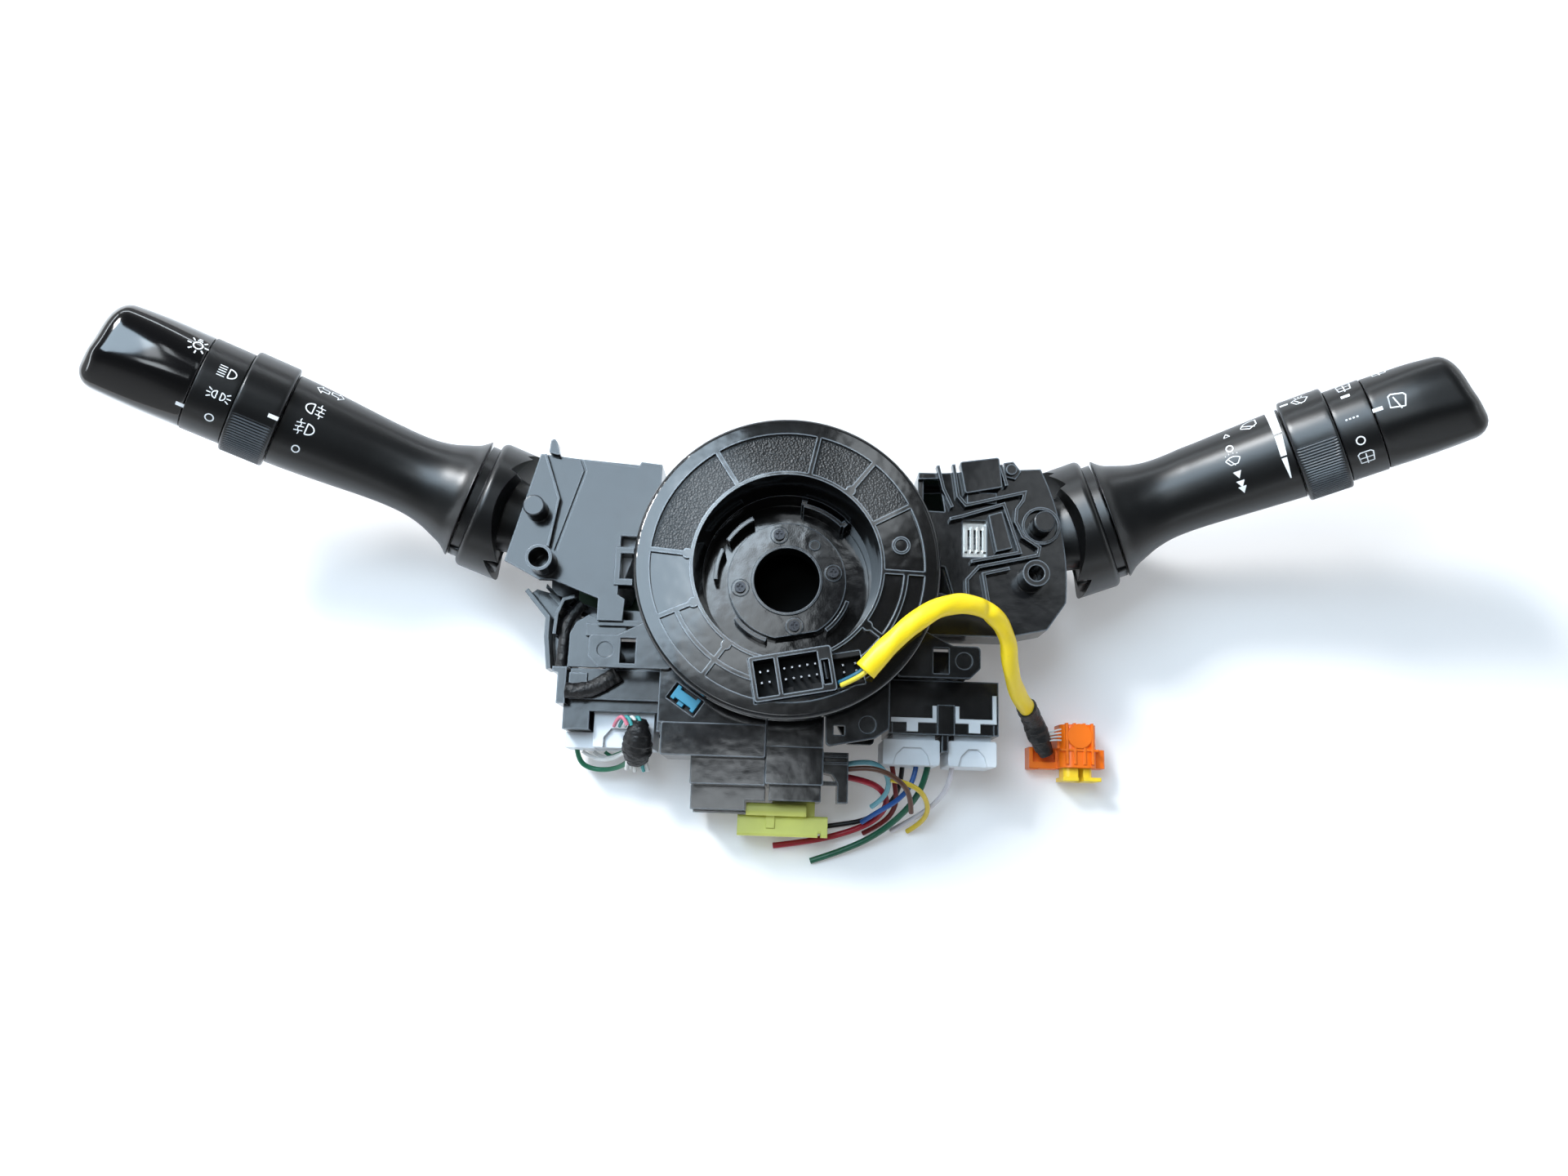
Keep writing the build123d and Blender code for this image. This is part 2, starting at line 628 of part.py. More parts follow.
def lever_root(lever, side):
    wide, tall = tongue_half_wide, tongue_half_tall
    tongue = block(-6, neck_start + 2, -wide, wide, -tall, tall)
    tongue = soften(tongue, Axis.Y, 2.0)
    tongue += Cylinder(cross_pin_r, 2 * cradle_half_wide - 0.8, rotation=(90, 0, 0))
    neck = loft([section(neck_start, 9.5, neck_half_tall), section(mouth_r + 5, 14.0, neck_half_tall)])
    barrel = along(Ellipse(barrel_half_wide, barrel_half_wide * oval), barrel_start, barrel_end - 2.8)
    rims = [e for e in barrel.edges() if e.length > 50 and e.center().X > barrel_start + 1]
    barrel = fillet(rims, barrel_round)
    barrel += along(Ellipse(collar_half_wide, collar_half_wide * oval), barrel_end - 3, barrel_end)
    barrel -= mouth_room(lever)
    peg = along(Circle(peg_r), barrel_end - 1, arm_start + peg_long)
    return raised_lever(tongue + neck + barrel + peg, side)


def lever_arm(lever, side):
    waist, end, half = lever["waist"], lever["arm_end"], lever["arm_half"]
    swell = (half - waist) / 3
    stations = [(arm_start, waist + 8.3), (56.0, waist + 5.6), (60.0, waist + 3.7), (65.0, waist + 1.7),
                (71.0, waist + 0.4), (78.0, waist), (86.0, waist + 0.3 * swell), (94.0, waist + 1.1 * swell),
                (102.0, waist + 1.9 * swell), (110.0, waist + 2.6 * swell), (end, half)]
    arm = loft([section(d, w, w * oval) for d, w in stations])
    arm -= along(Circle(peg_r + fit_gap), arm_start - 1, arm_start + peg_long + 0.4)
    sleeve_at = sleeve_start(lever)
    arm += along(Circle(spigot_r), end - 1, sleeve_at + 3)
    arm += along(Circle(axle_r), sleeve_at, sleeve_at + lever["sleeve_long"] + axle_in_knob)
    return raised_lever(arm, side)


def lever_ring(lever, side):
    start = lever["arm_end"] + piece_gap
    half, long = lever["ring_half"], lever["ring_long"]
    ring = along(Ellipse(half, half * 0.97), start, start + long)
    ring = chamfer([e for e in ring.edges() if e.length > 50], 0.8)
    ring -= along(knurl(half), start + 1.2, start + long - 1.2)
    ring -= along(Circle(spigot_r + running_gap), start - 1, start + long + 1)
    return raised_lever(ring, side)


def knurl(half):
    grooves = Sketch()
    for k in range(1, round(165 / ridge_step)):
        angle = 187 + ridge_step * k
        grooves += Rot(0, 0, angle) * Pos(half * 0.985 + 1 - ridge_deep, 0) * Rectangle(2, 0.8)
    return grooves


def sleeve_start(lever):
    return lever["arm_end"] + lever["ring_long"] + 2 * piece_gap


def lever_sleeve(lever, side):
    start, half = sleeve_start(lever), lever["sleeve_half"]
    sleeve = along(Ellipse(half, half * 0.93), start, start + lever["sleeve_long"])
    sleeve -= along(Circle(spigot_r + fit_gap), start - 1, start + 3.2)
    sleeve -= along(Circle(axle_r + fit_gap), start, start + lever["sleeve_long"] + 1)
    return raised_lever(sleeve, side)


def knob_section(d, half_wide, half_tall, corner):
    return on_lever(d) * (Plane.YZ * RectangleRounded(2 * half_wide, 2 * half_tall, corner))


def lever_knob(lever, side):
    start = sleeve_start(lever) + lever["sleeve_long"] + piece_gap
    long, half = lever["knob_long"], lever["knob_half"]
    knob = loft([
        knob_section(start, half, half * 0.93, half * 0.92),
        knob_section(start + long * 0.4, half, half * 0.88, half * 0.78),
        knob_section(start + long * 0.8, half * 0.96, half * 0.76, half * 0.66),
        knob_section(start + long, half * 0.9, half * 0.64, half * 0.56),
    ])
    tip = knob.faces().sort_by(Axis.X)[-1]
    knob = fillet(tip.edges(), half * 0.36)
    facet = Rot(40, 0, 0) * Rot(0, 4.5, 0) * block(-5, long + 12, -40, 40, half * 0.95, half * 0.95 + 20)
    knob -= on_lever(start) * facet
    knob -= along(Circle(axle_r + running_gap), start - 1, start + axle_in_knob + 0.2)
    return raised_lever(knob, side)


def column_bracket():
    collar = tube(column_r + collar_wall, column_r, 0, flange_z)
    collar -= block(-1.5, 1.5, -column_r - 9, -column_r + 1, -1, flange_z - 6)
    wings = [(-43.9, 34.0), (-43.9, -20.5), (-64.0, -20.5), (-64.0, -31.0), (-36.0, -31.0), (-24.0, -38.0),
             (14.0, -38.0), (22.5, -54.0), (31.8, -54.0), (35.6, -31.0), (64.0, -31.0), (64.0, -20.5),
             (43.9, -20.5), (43.9, 34.0)]
    flange = upright(wings, flange_z, flange_z + flange_thick, 1.5) - rod(column_r, 0, 40)
    ribs = None
    for angle in range(15, 375, 30):
        rib = Rot(0, 0, angle) * block(column_r + 3, 40, -1, 1, 8, flange_z)
        ribs = rib if ribs is None else ribs + rib
    ribs &= block(-43, 43, -30, 33, 0, flange_z)
    bracket = collar + flange + ribs
    top = spiral_low_z()
    for place in [(-ear_screw_x, ear_screw_y), (ear_screw_x, ear_screw_y), low_ear_screw]:
        bracket += rod(post_r, flange_z, top, place)
    for x, y in case_screw_places():
        for side in (-1, 1):
            bracket -= rod(1.3, flange_z - 1, flange_z + flange_thick + 1, (side * x, y))
    return bracket


def column_clamp():
    r = column_r + collar_wall + fit_gap
    band = tube(r + clamp_thick, r, 0.6, 0.6 + 6.6)
    band -= block(-2.5, 2.5, -r - 9, -r + 4, 0, 20)
    tabs = block(2.5, 3.7, -r - 7, -r - 0.2, 0.6, 7.2) + block(-3.7, -2.5, -r - 7, -r - 0.2, 0.6, 7.2)
    tabs -= Pos(0, -r - 4, 3.9) * Cylinder(1.6, 20, rotation=(0, 90, 0))
    return band + tabs


def clamp_screw():
    y = -column_r - collar_wall - fit_gap - 4
    screw = Pos(0, y, 3.9) * Cylinder(1.5, 14, rotation=(0, 90, 0))
    screw += Pos(5.0, y, 3.9) * Cylinder(3.0, 2.4, rotation=(0, 90, 0))
    screw += Pos(-4.9, y, 3.9) * extrude_hex(2.9, 2.2)
    return screw


def extrude_hex(r, thick):
    plane = Plane(origin=(-thick / 2, 0, 0), x_dir=(0, 1, 0), z_dir=(1, 0, 0))
    return extrude(plane * RegularPolygon(r, 6), thick)


def angle_sensor():
    low = flange_z + flange_thick + seat_gap
    high = cover_top_z - cover_thick - seat_gap
    body = tube(sensor_r, sensor_eye_r, low, high)
    outer = [e for e in body.edges().filter_by(GeomType.CIRCLE) if e.radius > sensor_r - 0.1]
    return chamfer(outer, 1.0)


def window_place():
    return Pos(-32.5, -42.7, housing_front_z) * Rot(0, 0, -33.8)


def lower_housing():
    low = flange_z + flange_thick + seat_gap
    front = upright([(-41.3, -28.5), (-41.3, -50.4), (-5.2, -50.4), (-5.2, -28.5)], low, housing_front_z)
    front -= rod(sensor_r + fit_gap, 0, 60)
    shelf = soften(block(-39.8, -5.2, -61.2, -50.4, low, 50.0), Axis.Z, 0.8)
    step = block(-30.2, -5.2, -69.8, -61.0, 16, 41)
    ledge = block(-31.0, -12.0, -77.8, -69.6, 8, 24) + block(-12.2, -5.2, -74.3, -69.6, 8, 24)
    body = front + shelf + step + ledge
    body += block(-31.0, -12.0, -78.6, -77.6, 8, 9.5) + block(-30.2, -12, -69.8, -60, 8, 17)
    return body - window_place() * Box(11.3, 6.2, 10)


def lock_slide():
    bar = Box(9.2, 3.2, 4.6) + Pos(-3.9, 0, 0) * Box(1.4, 5.0, 4.6) + Pos(3.9, 0, 0) * Box(1.4, 5.0, 4.6)
    tab = Pos(-0.6, -2.2, -0.6) * Box(2.2, 1.8, 3.4)
    return window_place() * (Pos(0, 0.3, -2.7) * (bar + tab))


def lower_cover():
    low = flange_z + flange_thick + seat_gap
    upper = upright([(-5.1, -42.4), (-5.1, -57.2), (13.9, -57.2), (13.9, -40.0)], low, 46.0)
    upper -= rod(sensor_r + fit_gap, 0, 60)
    lower = block(-5.1, 14.1, -69.3, -57.0, 8, 43.0)
    ledge = block(-3.8, 13.9, -74.3, -69.1, 8, 31)
    body = upper + soften(lower, Axis.Z, 0.6) + ledge
    return body - plug_nose(plug_gap)


def plug_nose(grow):
    return block(-2.6 - grow, 12.4 + grow, -79, -66 + grow, 10 - grow, 16.0 + grow)


def main_plug():
    flange = block(-14.7, 17.0, -86.2, -78.9, 5.0, 17.0)
    flange -= block(13.6, 14.8, -87, -84.8, 0, 20)
    bar = soften(block(-11.7, 9.4, -79.2, -74.8, 16.6, 21.6), Axis.X, 1.6)
    tab = block(-4.6, -1.6, -83.4, -79, 17.0, 17.8)
    return soften(flange, Axis.X, 1.0) + bar + tab + plug_nose(0)


def side_clip():
    plate = upright([(14.4, -57.5), (23.0, -57.5), (23.0, -74.5), (19.4, -74.5), (19.4, -68.0),
                     (17.4, -65.0), (14.4, -64.4)], 20, 33)
    plate += block(14.4, 22.8, -59.4, -58.4, 33, 34.2) + block(14.4, 22.8, -61.8, -60.8, 33, 34.2)
    return plate + block(14.4, 19.6, -68.6, -67.2, 26, 31)


def left_socket():
    top = left_socket_z
    body = block(-76.0, -42.0, -52.2, -31.6, 2, top)
    body += block(-73.5, -42.0, -42.2, -31.6, top, top + 4)
    body -= block(-66.8, -43.4, -53.0, -45.8, 4.5, top + 1)
    body -= block(-66.8, -43.4, -46.0, -36.0, 6.5, 26.8)
    body += block(-73.8, -67.6, -37.4, -33.2, top + 4, top + 5)
    post = upright([(-77.6, -33.4), (-79.6, -33.0), (-79.6, -31.4), (-74.6, -31.4), (-74.6, -44.0),
                    (-77.6, -44.0)], 20, top + 6)
    return body + post


def left_plug():
    nose = block(-65.8, -44.4, -46.0, -37.0, 7.2, 26.2)
    body = block(-65.6, -44.6, -57.8, -46.0, 7.2, 26.2)
    recess = [(-62.0, -59.0), (-62.0, -54.4), (-59.4, -51.2), (-46.0, -51.2), (-46.0, -59.0)]
    body -= upright(recess, 24.6, 30)
    wing = block(-76.0, -65.4, -58.0, -52.5, 8.0, 22.0)
    return nose + body + wing


def right_socket():
    top = right_socket_z
    body = block(36.6, 74.4, -50.2, -31.6, 2, top)
    body += block(54.9, 57.1, -56.0, -50.0, 2, top)
    body += block(53.2, 59.2, -50.4, -40.0, top - 1, top + 1.0)
    for x0, x1 in right_nose_spans():
        body -= block(x0 - plug_gap, x1 + plug_gap, -51, -39.6, 7.2, 27.2)
    step = block(38.0, 72.6, -50.3, -46.4, top - 0.8, top + 0.1)
    return body - (step - block(53.2, 59.2, -51, -46, top - 1, top + 1))


def right_nose_spans():
    return [(38.4, 53.2), (59.8, 72.6)]


def socket_rails():
    z0, z1 = right_socket_z, right_socket_z + 0.8
    left = block(37.3, 53.0, -46.2, -44.7, z0, z1) + block(42.7, 46.6, -49.4, -46.1, z0, z1)
    left += block(51.6, 53.0, -44.8, -40.4, z0, z1)
    right = block(59.4, 73.6, -46.2, -44.7, z0, z1) + block(64.0, 68.0, -49.4, -46.1, z0, z1)
    right += block(59.4, 60.8, -44.8, -40.4, z0, z1) + block(72.2, 73.6, -44.8, -36.4, z0, z1)
    return [left, right]


def right_plugs():
    plugs = []
    for (x0, x1), (f0, f1) in zip(right_nose_spans(), [(35.0, 54.6), (57.5, 74.2)]):
        flange = soften(block(f0, f1, -60.6, -51.9, 7.5, 29.0), Axis.Z, 0.8)
        hollow = upright([(f0 + 3.2, -61.5), (f0 + 4.6, -57.0), (f0 + 7.0, -54.6), (f1 - 6.4, -54.6),
                          (f1 - 4.2, -57.0), (f1 - 3.0, -61.5)], 27.6, 30)
        nose = block(x0, x1, -52.0, -40.0, 7.5, 26.9)
        plugs.append(flange - hollow + nose)
    return plugs


def taped_loom(r, points, bend):
    path = FilletPolyline(*points, radius=bend)
    return sweep(Plane(origin=path @ 0, z_dir=path % 0) * Circle(r), path=path)


def left_tape():
    upper = taped_loom(1.9, [(-71.0, -8.8, 33.2), (-75.3, -13.4, 33.4), (-76.8, -20.0, 33.4),
                             (-77.1, channel_end_y, 33.0)], 9.0)
    lower = taped_loom(2.6, [(-56.8, -33.4, 37.0), (-62.6, -37.6, 36.8), (-69.0, -40.0, 36.8),
                             (-74.3, -39.6, 36.8)], 9.0)
    return [taped_knot(), upper, lower]


def taped_knot():
    return loft([
        Pos(-49.0, -46.4, 32.4) * Rot(60, 0, 0) * Ellipse(3.2, 2.0),
        Pos(-49.4, -52.0, 31.4) * Rot(78, 0, 0) * Ellipse(4.6, 3.2),
        Pos(-49.8, -58.6, 27.2) * Rot(66, 0, 0) * Ellipse(4.8, 3.6),
        Pos(-50.4, -63.4, 21.6) * Rot(50, 0, 0) * Ellipse(3.8, 3.0),
    ])


def squib_plug():
    tall = soften(block(99.8, 112.9, -58.8, -43.4, 0.6, 15.0), Axis.Y, 4.0)
    tall += Pos(106.4, -47.6, 8.0) * Cylinder(4.4, 15.4)
    tab = soften(block(112.0, 116.4, -58.6, -52.0, 2.4, 11.0), Axis.Y, 1.2)
    wing = block(89.6, 100.4, -59.0, -51.4, 0.6, 8.4)
    wing -= block(91.0, 99.0, -56.6, -50.0, 5.6, 9.0)
    step = block(99.0, 104.0, -52.0, -46.0, 0.6, 12.0)
    body = tall + tab + wing + step
    return body - block(101.0, 111.6, -59.5, -55.0, 2.6, 13.0)


def squib_insert():
    body = soften(block(101.2, 111.4, -62.2, -55.3, 2.8, 12.8), Axis.Y, 2.0)
    body += block(100.6, 114.2, -63.4, -62.0, 2.0, 13.6)
    return body - block(106.2, 108.0, -64, -58, 5.0, 14.0)


def lead_tape():
    path = [(87.7, -39.5, 18.8), (92.4, -45.6, 12.4), (96.0, -50.2, 11.6)]
    frames = [Plane(origin=p, z_dir=d, x_dir=(0, 0, 1))
              for p, d in zip(path, [(0.4, -0.44, -0.8), (0.6, -0.66, -0.45), (0.6, -0.75, -0.1)])]
    widths = [(3.5, 3.5), (4.2, 4.4), (2.6, 3.4)]
    sections = [frame * Ellipse(a, b) for frame, (a, b) in zip(frames, widths)]
    return loft(sections)


lead_r = 3.3
sleeve_bore_r = 2.6
wire_r = 0.9
thick_wire_r = 1.1

# Routes of the free cords and cut wires, each a radius and its points
lead_line = [(25.6, -34.4, 70.2), (31.0, -28.0, 71.6), (38.2, -20.8, 72.4), (47.2, -13.8, 72.4),
             (57.6, -11.0, 69.1), (67.1, -12.9, 63.2), (73.3, -19.2, 56.2), (75.1, -28.2, 49.6),
             (79.0, -34.6, 38.6), (83.6, -38.0, 28.6), (87.8, -40.2, 20.0)]


def beside(points, share):
    return [(x + 0.36 * share, y - 0.47 * share, z + 0.74 * share) for x, y, z in points]


routes = {
    "lead_sleeve": (lead_r, lead_line),
    "lead_wire_yellow": (0.8, beside([(17.9, -38.4, 66.6), (21.6, -36.9, 68.7)] + lead_line, 1)),
    "lead_wire_blue": (0.8, beside([(17.9, -38.4, 66.6), (21.6, -36.9, 68.7)] + lead_line, -1)),
    "wire_green": (thick_wire_r, [
        (51.6, -60.0, 20.0), (50.4, -67.0, 18.6), (45.4, -75.4, 12.0), (36.4, -83.6, 6.2),
        (24.4, -90.0, 2.8), (11.6, -94.4, 1.3)]),
    "wire_red": (thick_wire_r, [
        (22.4, -65.0, 22.0), (29.0, -66.0, 22.0), (35.4, -68.4, 18.4), (38.6, -73.4, 12.4),
        (34.4, -79.4, 7.2), (25.6, -83.6, 4.2), (12.0, -87.4, 2.6), (-2.0, -89.4, 1.4)]),
    "wire_brown": (wire_r, [
        (22.4, -63.0, 30.4), (28.6, -62.2, 32.2), (35.0, -63.2, 33.0), (41.0, -66.4, 31.4),
        (45.0, -71.2, 27.4), (45.6, -76.6, 22.6)]),
    "wire_dark_red": (wire_r, [
        (39.2, -60.0, 17.0), (40.6, -67.0, 15.6), (41.8, -74.0, 10.4), (37.6, -80.4, 5.4),
        (30.4, -84.0, 1.6)]),
    "wire_blue": (wire_r, [
        (47.6, -60.0, 19.4), (46.6, -66.4, 19.6), (41.6, -72.4, 17.6), (34.6, -76.6, 13.2),
        (29.4, -80.2, 8.6)]),
    "wire_light_blue": (wire_r, [
        (22.4, -61.0, 26.0), (28.2, -59.8, 27.4), (34.2, -60.8, 26.6), (38.0, -65.6, 23.6),
        (37.0, -71.6, 18.8), (32.4, -74.8, 14.2)]),
    "wire_yellow": (wire_r, [
        (38.0, -65.8, 27.8), (43.8, -66.6, 26.4), (49.8, -69.6, 21.8), (52.8, -75.0, 14.4),
        (51.0, -79.8, 7.2), (46.4, -82.8, 1.8)]),
    "wire_black": (wire_r, [
        (43.2, -60.0, 14.0), (43.0, -67.4, 11.8), (38.8, -74.6, 7.4), (31.2, -79.4, 3.6),
        (22.0, -81.2, 1.7), (12.6, -82.6, 1.0)]),
    "wire_white": (wire_r, [
        (60.1, -60.0, 20.0), (59.6, -66.4, 17.0), (55.8, -72.6, 11.6), (48.6, -78.2, 6.4),
        (40.4, -82.8, 2.0)]),
    "wire_left_green": (wire_r, [
        (-73.4, -57.4, 12.0), (-72.8, -63.4, 11.4), (-67.8, -67.6, 11.0), (-60.8, -67.4, 12.8),
        (-54.8, -64.0, 16.8), (-51.0, -59.2, 21.3)]),
}


def cord(name):
    r, points = routes[name]
    corners = [Vector(*p) for p in points]
    radii = []
    for a, b, c in zip(corners, corners[1:], corners[2:]):
        turn = math.radians((b - a).get_angle(c - b))
        radii.append(0.45 * min((b - a).length, (c - b).length) / math.tan(turn / 2))
    path = FilletPolyline(*points, radius=radii)
    outline = Circle(r) - Circle(sleeve_bore_r) if name == "lead_sleeve" else Circle(r)
    body = sweep(Plane(origin=path @ 0, z_dir=path % 0) * outline, path=path)
    share = body.volume / (outline.area * path.length)
    tight = min(radii) / (2 * r)
    shown = [round(x, 1) for x in radii]
    print(f"{name}: tightest bend {tight:.1f} diameters, radii {shown}, volume {share:.4f}")
    return body


def make_nodes():
    nodes = {
        "rotor_disc": rotor_disc(), "rotor_hub": rotor_hub(), "hub_screws": hub_screws(),
        "rotor_connector": rotor_connector(), "rotor_pins": rotor_pins(),
        "spiral_case": spiral_case(), "ribbon_cable": ribbon_cable(), "angle_sensor": angle_sensor(),
        "column_bracket": column_bracket(), "column_clamp": column_clamp(), "clamp_screw": clamp_screw(),
        "left_case": left_case(), "left_cover": left_cover(),
        "right_case": switch_shell(right_lever), "right_cover": right_cover(),
        "right_contacts": right_contacts(),
        "left_board": other_side(switch_board()), "right_board": switch_board(),
        "case_screws": case_screws(),
        "lower_housing": lower_housing(), "lock_slide": lock_slide(), "lower_cover": lower_cover(),
        "main_plug": main_plug(), "side_clip": side_clip(),
        "left_socket": left_socket(), "left_plug": left_plug(), "left_tape": left_tape(),
        "right_socket": right_socket(), "socket_rails": socket_rails(), "right_plugs": right_plugs(),
        "squib_plug": squib_plug(), "squib_insert": squib_insert(), "lead_tape": lead_tape(),
    }
    for side, lever, word in [(-1, left_lever, "left"), (1, right_lever, "right")]:
        nodes[word + "_cradle"] = cradle(side)
        nodes[word + "_detent"] = detent(side)
        nodes[word + "_lever_root"] = lever_root(lever, side)
        nodes[word + "_lever_arm"] = lever_arm(lever, side)
        nodes[word + "_ring"] = lever_ring(lever, side)
        nodes[word + "_lever_sleeve"] = lever_sleeve(lever, side)
        nodes[word + "_knob"] = lever_knob(lever, side)
    for name in routes:
        nodes[name] = cord(name)
    return nodes


def main():
    os.makedirs("parts", exist_ok=True)
    for name, shape in make_nodes().items():
        pieces = shape if isinstance(shape, list) else list(shape.solids())
        export_step(Compound(children=[s for p in pieces for s in p.solids()]), f"parts/{name}.step")


if __name__ == "__main__":
    main()
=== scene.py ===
# %% [markdown]
# A steering column switch, dressed
#
# The object is the switch block that sits behind a car's steering wheel: a round spiral cable in the
# middle, a light stalk on the left and a wiper stalk on the right. The exact shapes come in as a fixed
# frame. This file adds what makes them look real: the moulded plastics, the printed symbols, the soft
# yellow lead, the cut wires, the light and the camera.

# %% Load the frame and note its size
import math
import random

import bmesh
import bpy
from mathutils import Matrix, Vector, noise


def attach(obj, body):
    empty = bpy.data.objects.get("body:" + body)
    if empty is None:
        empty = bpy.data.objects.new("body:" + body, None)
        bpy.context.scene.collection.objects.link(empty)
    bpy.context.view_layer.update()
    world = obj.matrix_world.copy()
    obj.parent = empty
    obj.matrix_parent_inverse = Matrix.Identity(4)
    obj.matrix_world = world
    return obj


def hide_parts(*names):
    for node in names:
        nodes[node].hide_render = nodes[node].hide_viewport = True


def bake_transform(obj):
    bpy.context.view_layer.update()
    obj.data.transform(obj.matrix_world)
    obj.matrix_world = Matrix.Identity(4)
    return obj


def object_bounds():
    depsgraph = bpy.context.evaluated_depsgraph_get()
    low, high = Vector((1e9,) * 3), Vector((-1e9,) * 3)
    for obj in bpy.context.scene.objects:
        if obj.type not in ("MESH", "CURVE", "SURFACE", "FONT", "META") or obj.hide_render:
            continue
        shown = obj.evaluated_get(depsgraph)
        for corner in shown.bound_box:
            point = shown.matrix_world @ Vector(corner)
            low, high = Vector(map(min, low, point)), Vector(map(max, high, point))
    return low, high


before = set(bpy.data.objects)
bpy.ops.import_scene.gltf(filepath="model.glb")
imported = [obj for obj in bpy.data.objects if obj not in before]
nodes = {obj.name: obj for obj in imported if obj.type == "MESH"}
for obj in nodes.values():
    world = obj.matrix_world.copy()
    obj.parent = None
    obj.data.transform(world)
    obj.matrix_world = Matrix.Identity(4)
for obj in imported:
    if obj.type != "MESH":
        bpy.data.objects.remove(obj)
frame_box = [list(corner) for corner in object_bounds()]
scene = bpy.context.scene
print("pieces in the frame:", len(nodes), "box in mm:", [[round(1000 * v, 1) for v in c] for c in frame_box])

MM = 0.001
rng = random.Random(7)

# %% [markdown]
# The camera
#
# A camera can be placed by eye, or worked out from things of known size in the picture. Here it was
# worked out: the round rim, the posts and both stalks land where the picture has them. The three turns
# are about the camera's own axes, one after the other, so the matrix is written as their product.

# %% Place the camera
lens_data = bpy.data.cameras.new("camera")
camera = bpy.data.objects.new("camera", lens_data)
scene.collection.objects.link(camera)
tilt = Matrix.Rotation(math.radians(11.95), 4, "X")
pan = Matrix.Rotation(math.radians(0.26), 4, "Y")
roll = Matrix.Rotation(math.radians(1.85), 4, "Z")
camera.matrix_world = Matrix.Translation((0.00095, -0.0869, 0.4401)) @ tilt @ pan @ roll
lens_data.sensor_width = 36.0
lens_data.lens = 1450.5 / 1920 * 36
lens_data.clip_start = 0.01
scene.camera = camera
scene.view_settings.view_transform = "Standard"
print("lens in mm:", round(lens_data.lens, 2))

# %% [markdown]
# Shader sums as Python
#
# A material in Blender is a graph. Drawing it by hand is slow to read, so each socket is wrapped in a
# small object that knows how to add and multiply. Writing `1 - mask` then adds the right node. Every
# other node comes from one method: its kind, its settings, then what goes into its sockets.

# %% Wrap sockets and finishes
class Wire:
    def __init__(self, finish, socket):
        self.finish = finish
        self.socket = socket

    def math(self, operation, first, second):
        made = self.finish.node("ShaderNodeMath", {"operation": operation}, {0: first, 1: second})
        return made["Value"]

    def __add__(self, other):
        return self.math("ADD", self, other)

    def __radd__(self, other):
        return self.math("ADD", other, self)

    def __sub__(self, other):
        return self.math("SUBTRACT", self, other)

    def __rsub__(self, other):
        return self.math("SUBTRACT", other, self)

    def __mul__(self, other):
        return self.math("MULTIPLY", self, other)

    def __rmul__(self, other):
        return self.math("MULTIPLY", other, self)

    def __truediv__(self, other):
        return self.math("DIVIDE", self, other)

    def above(self, edge):
        return self.math("GREATER_THAN", self, edge)

    def below(self, edge):
        return self.math("LESS_THAN", self, edge)


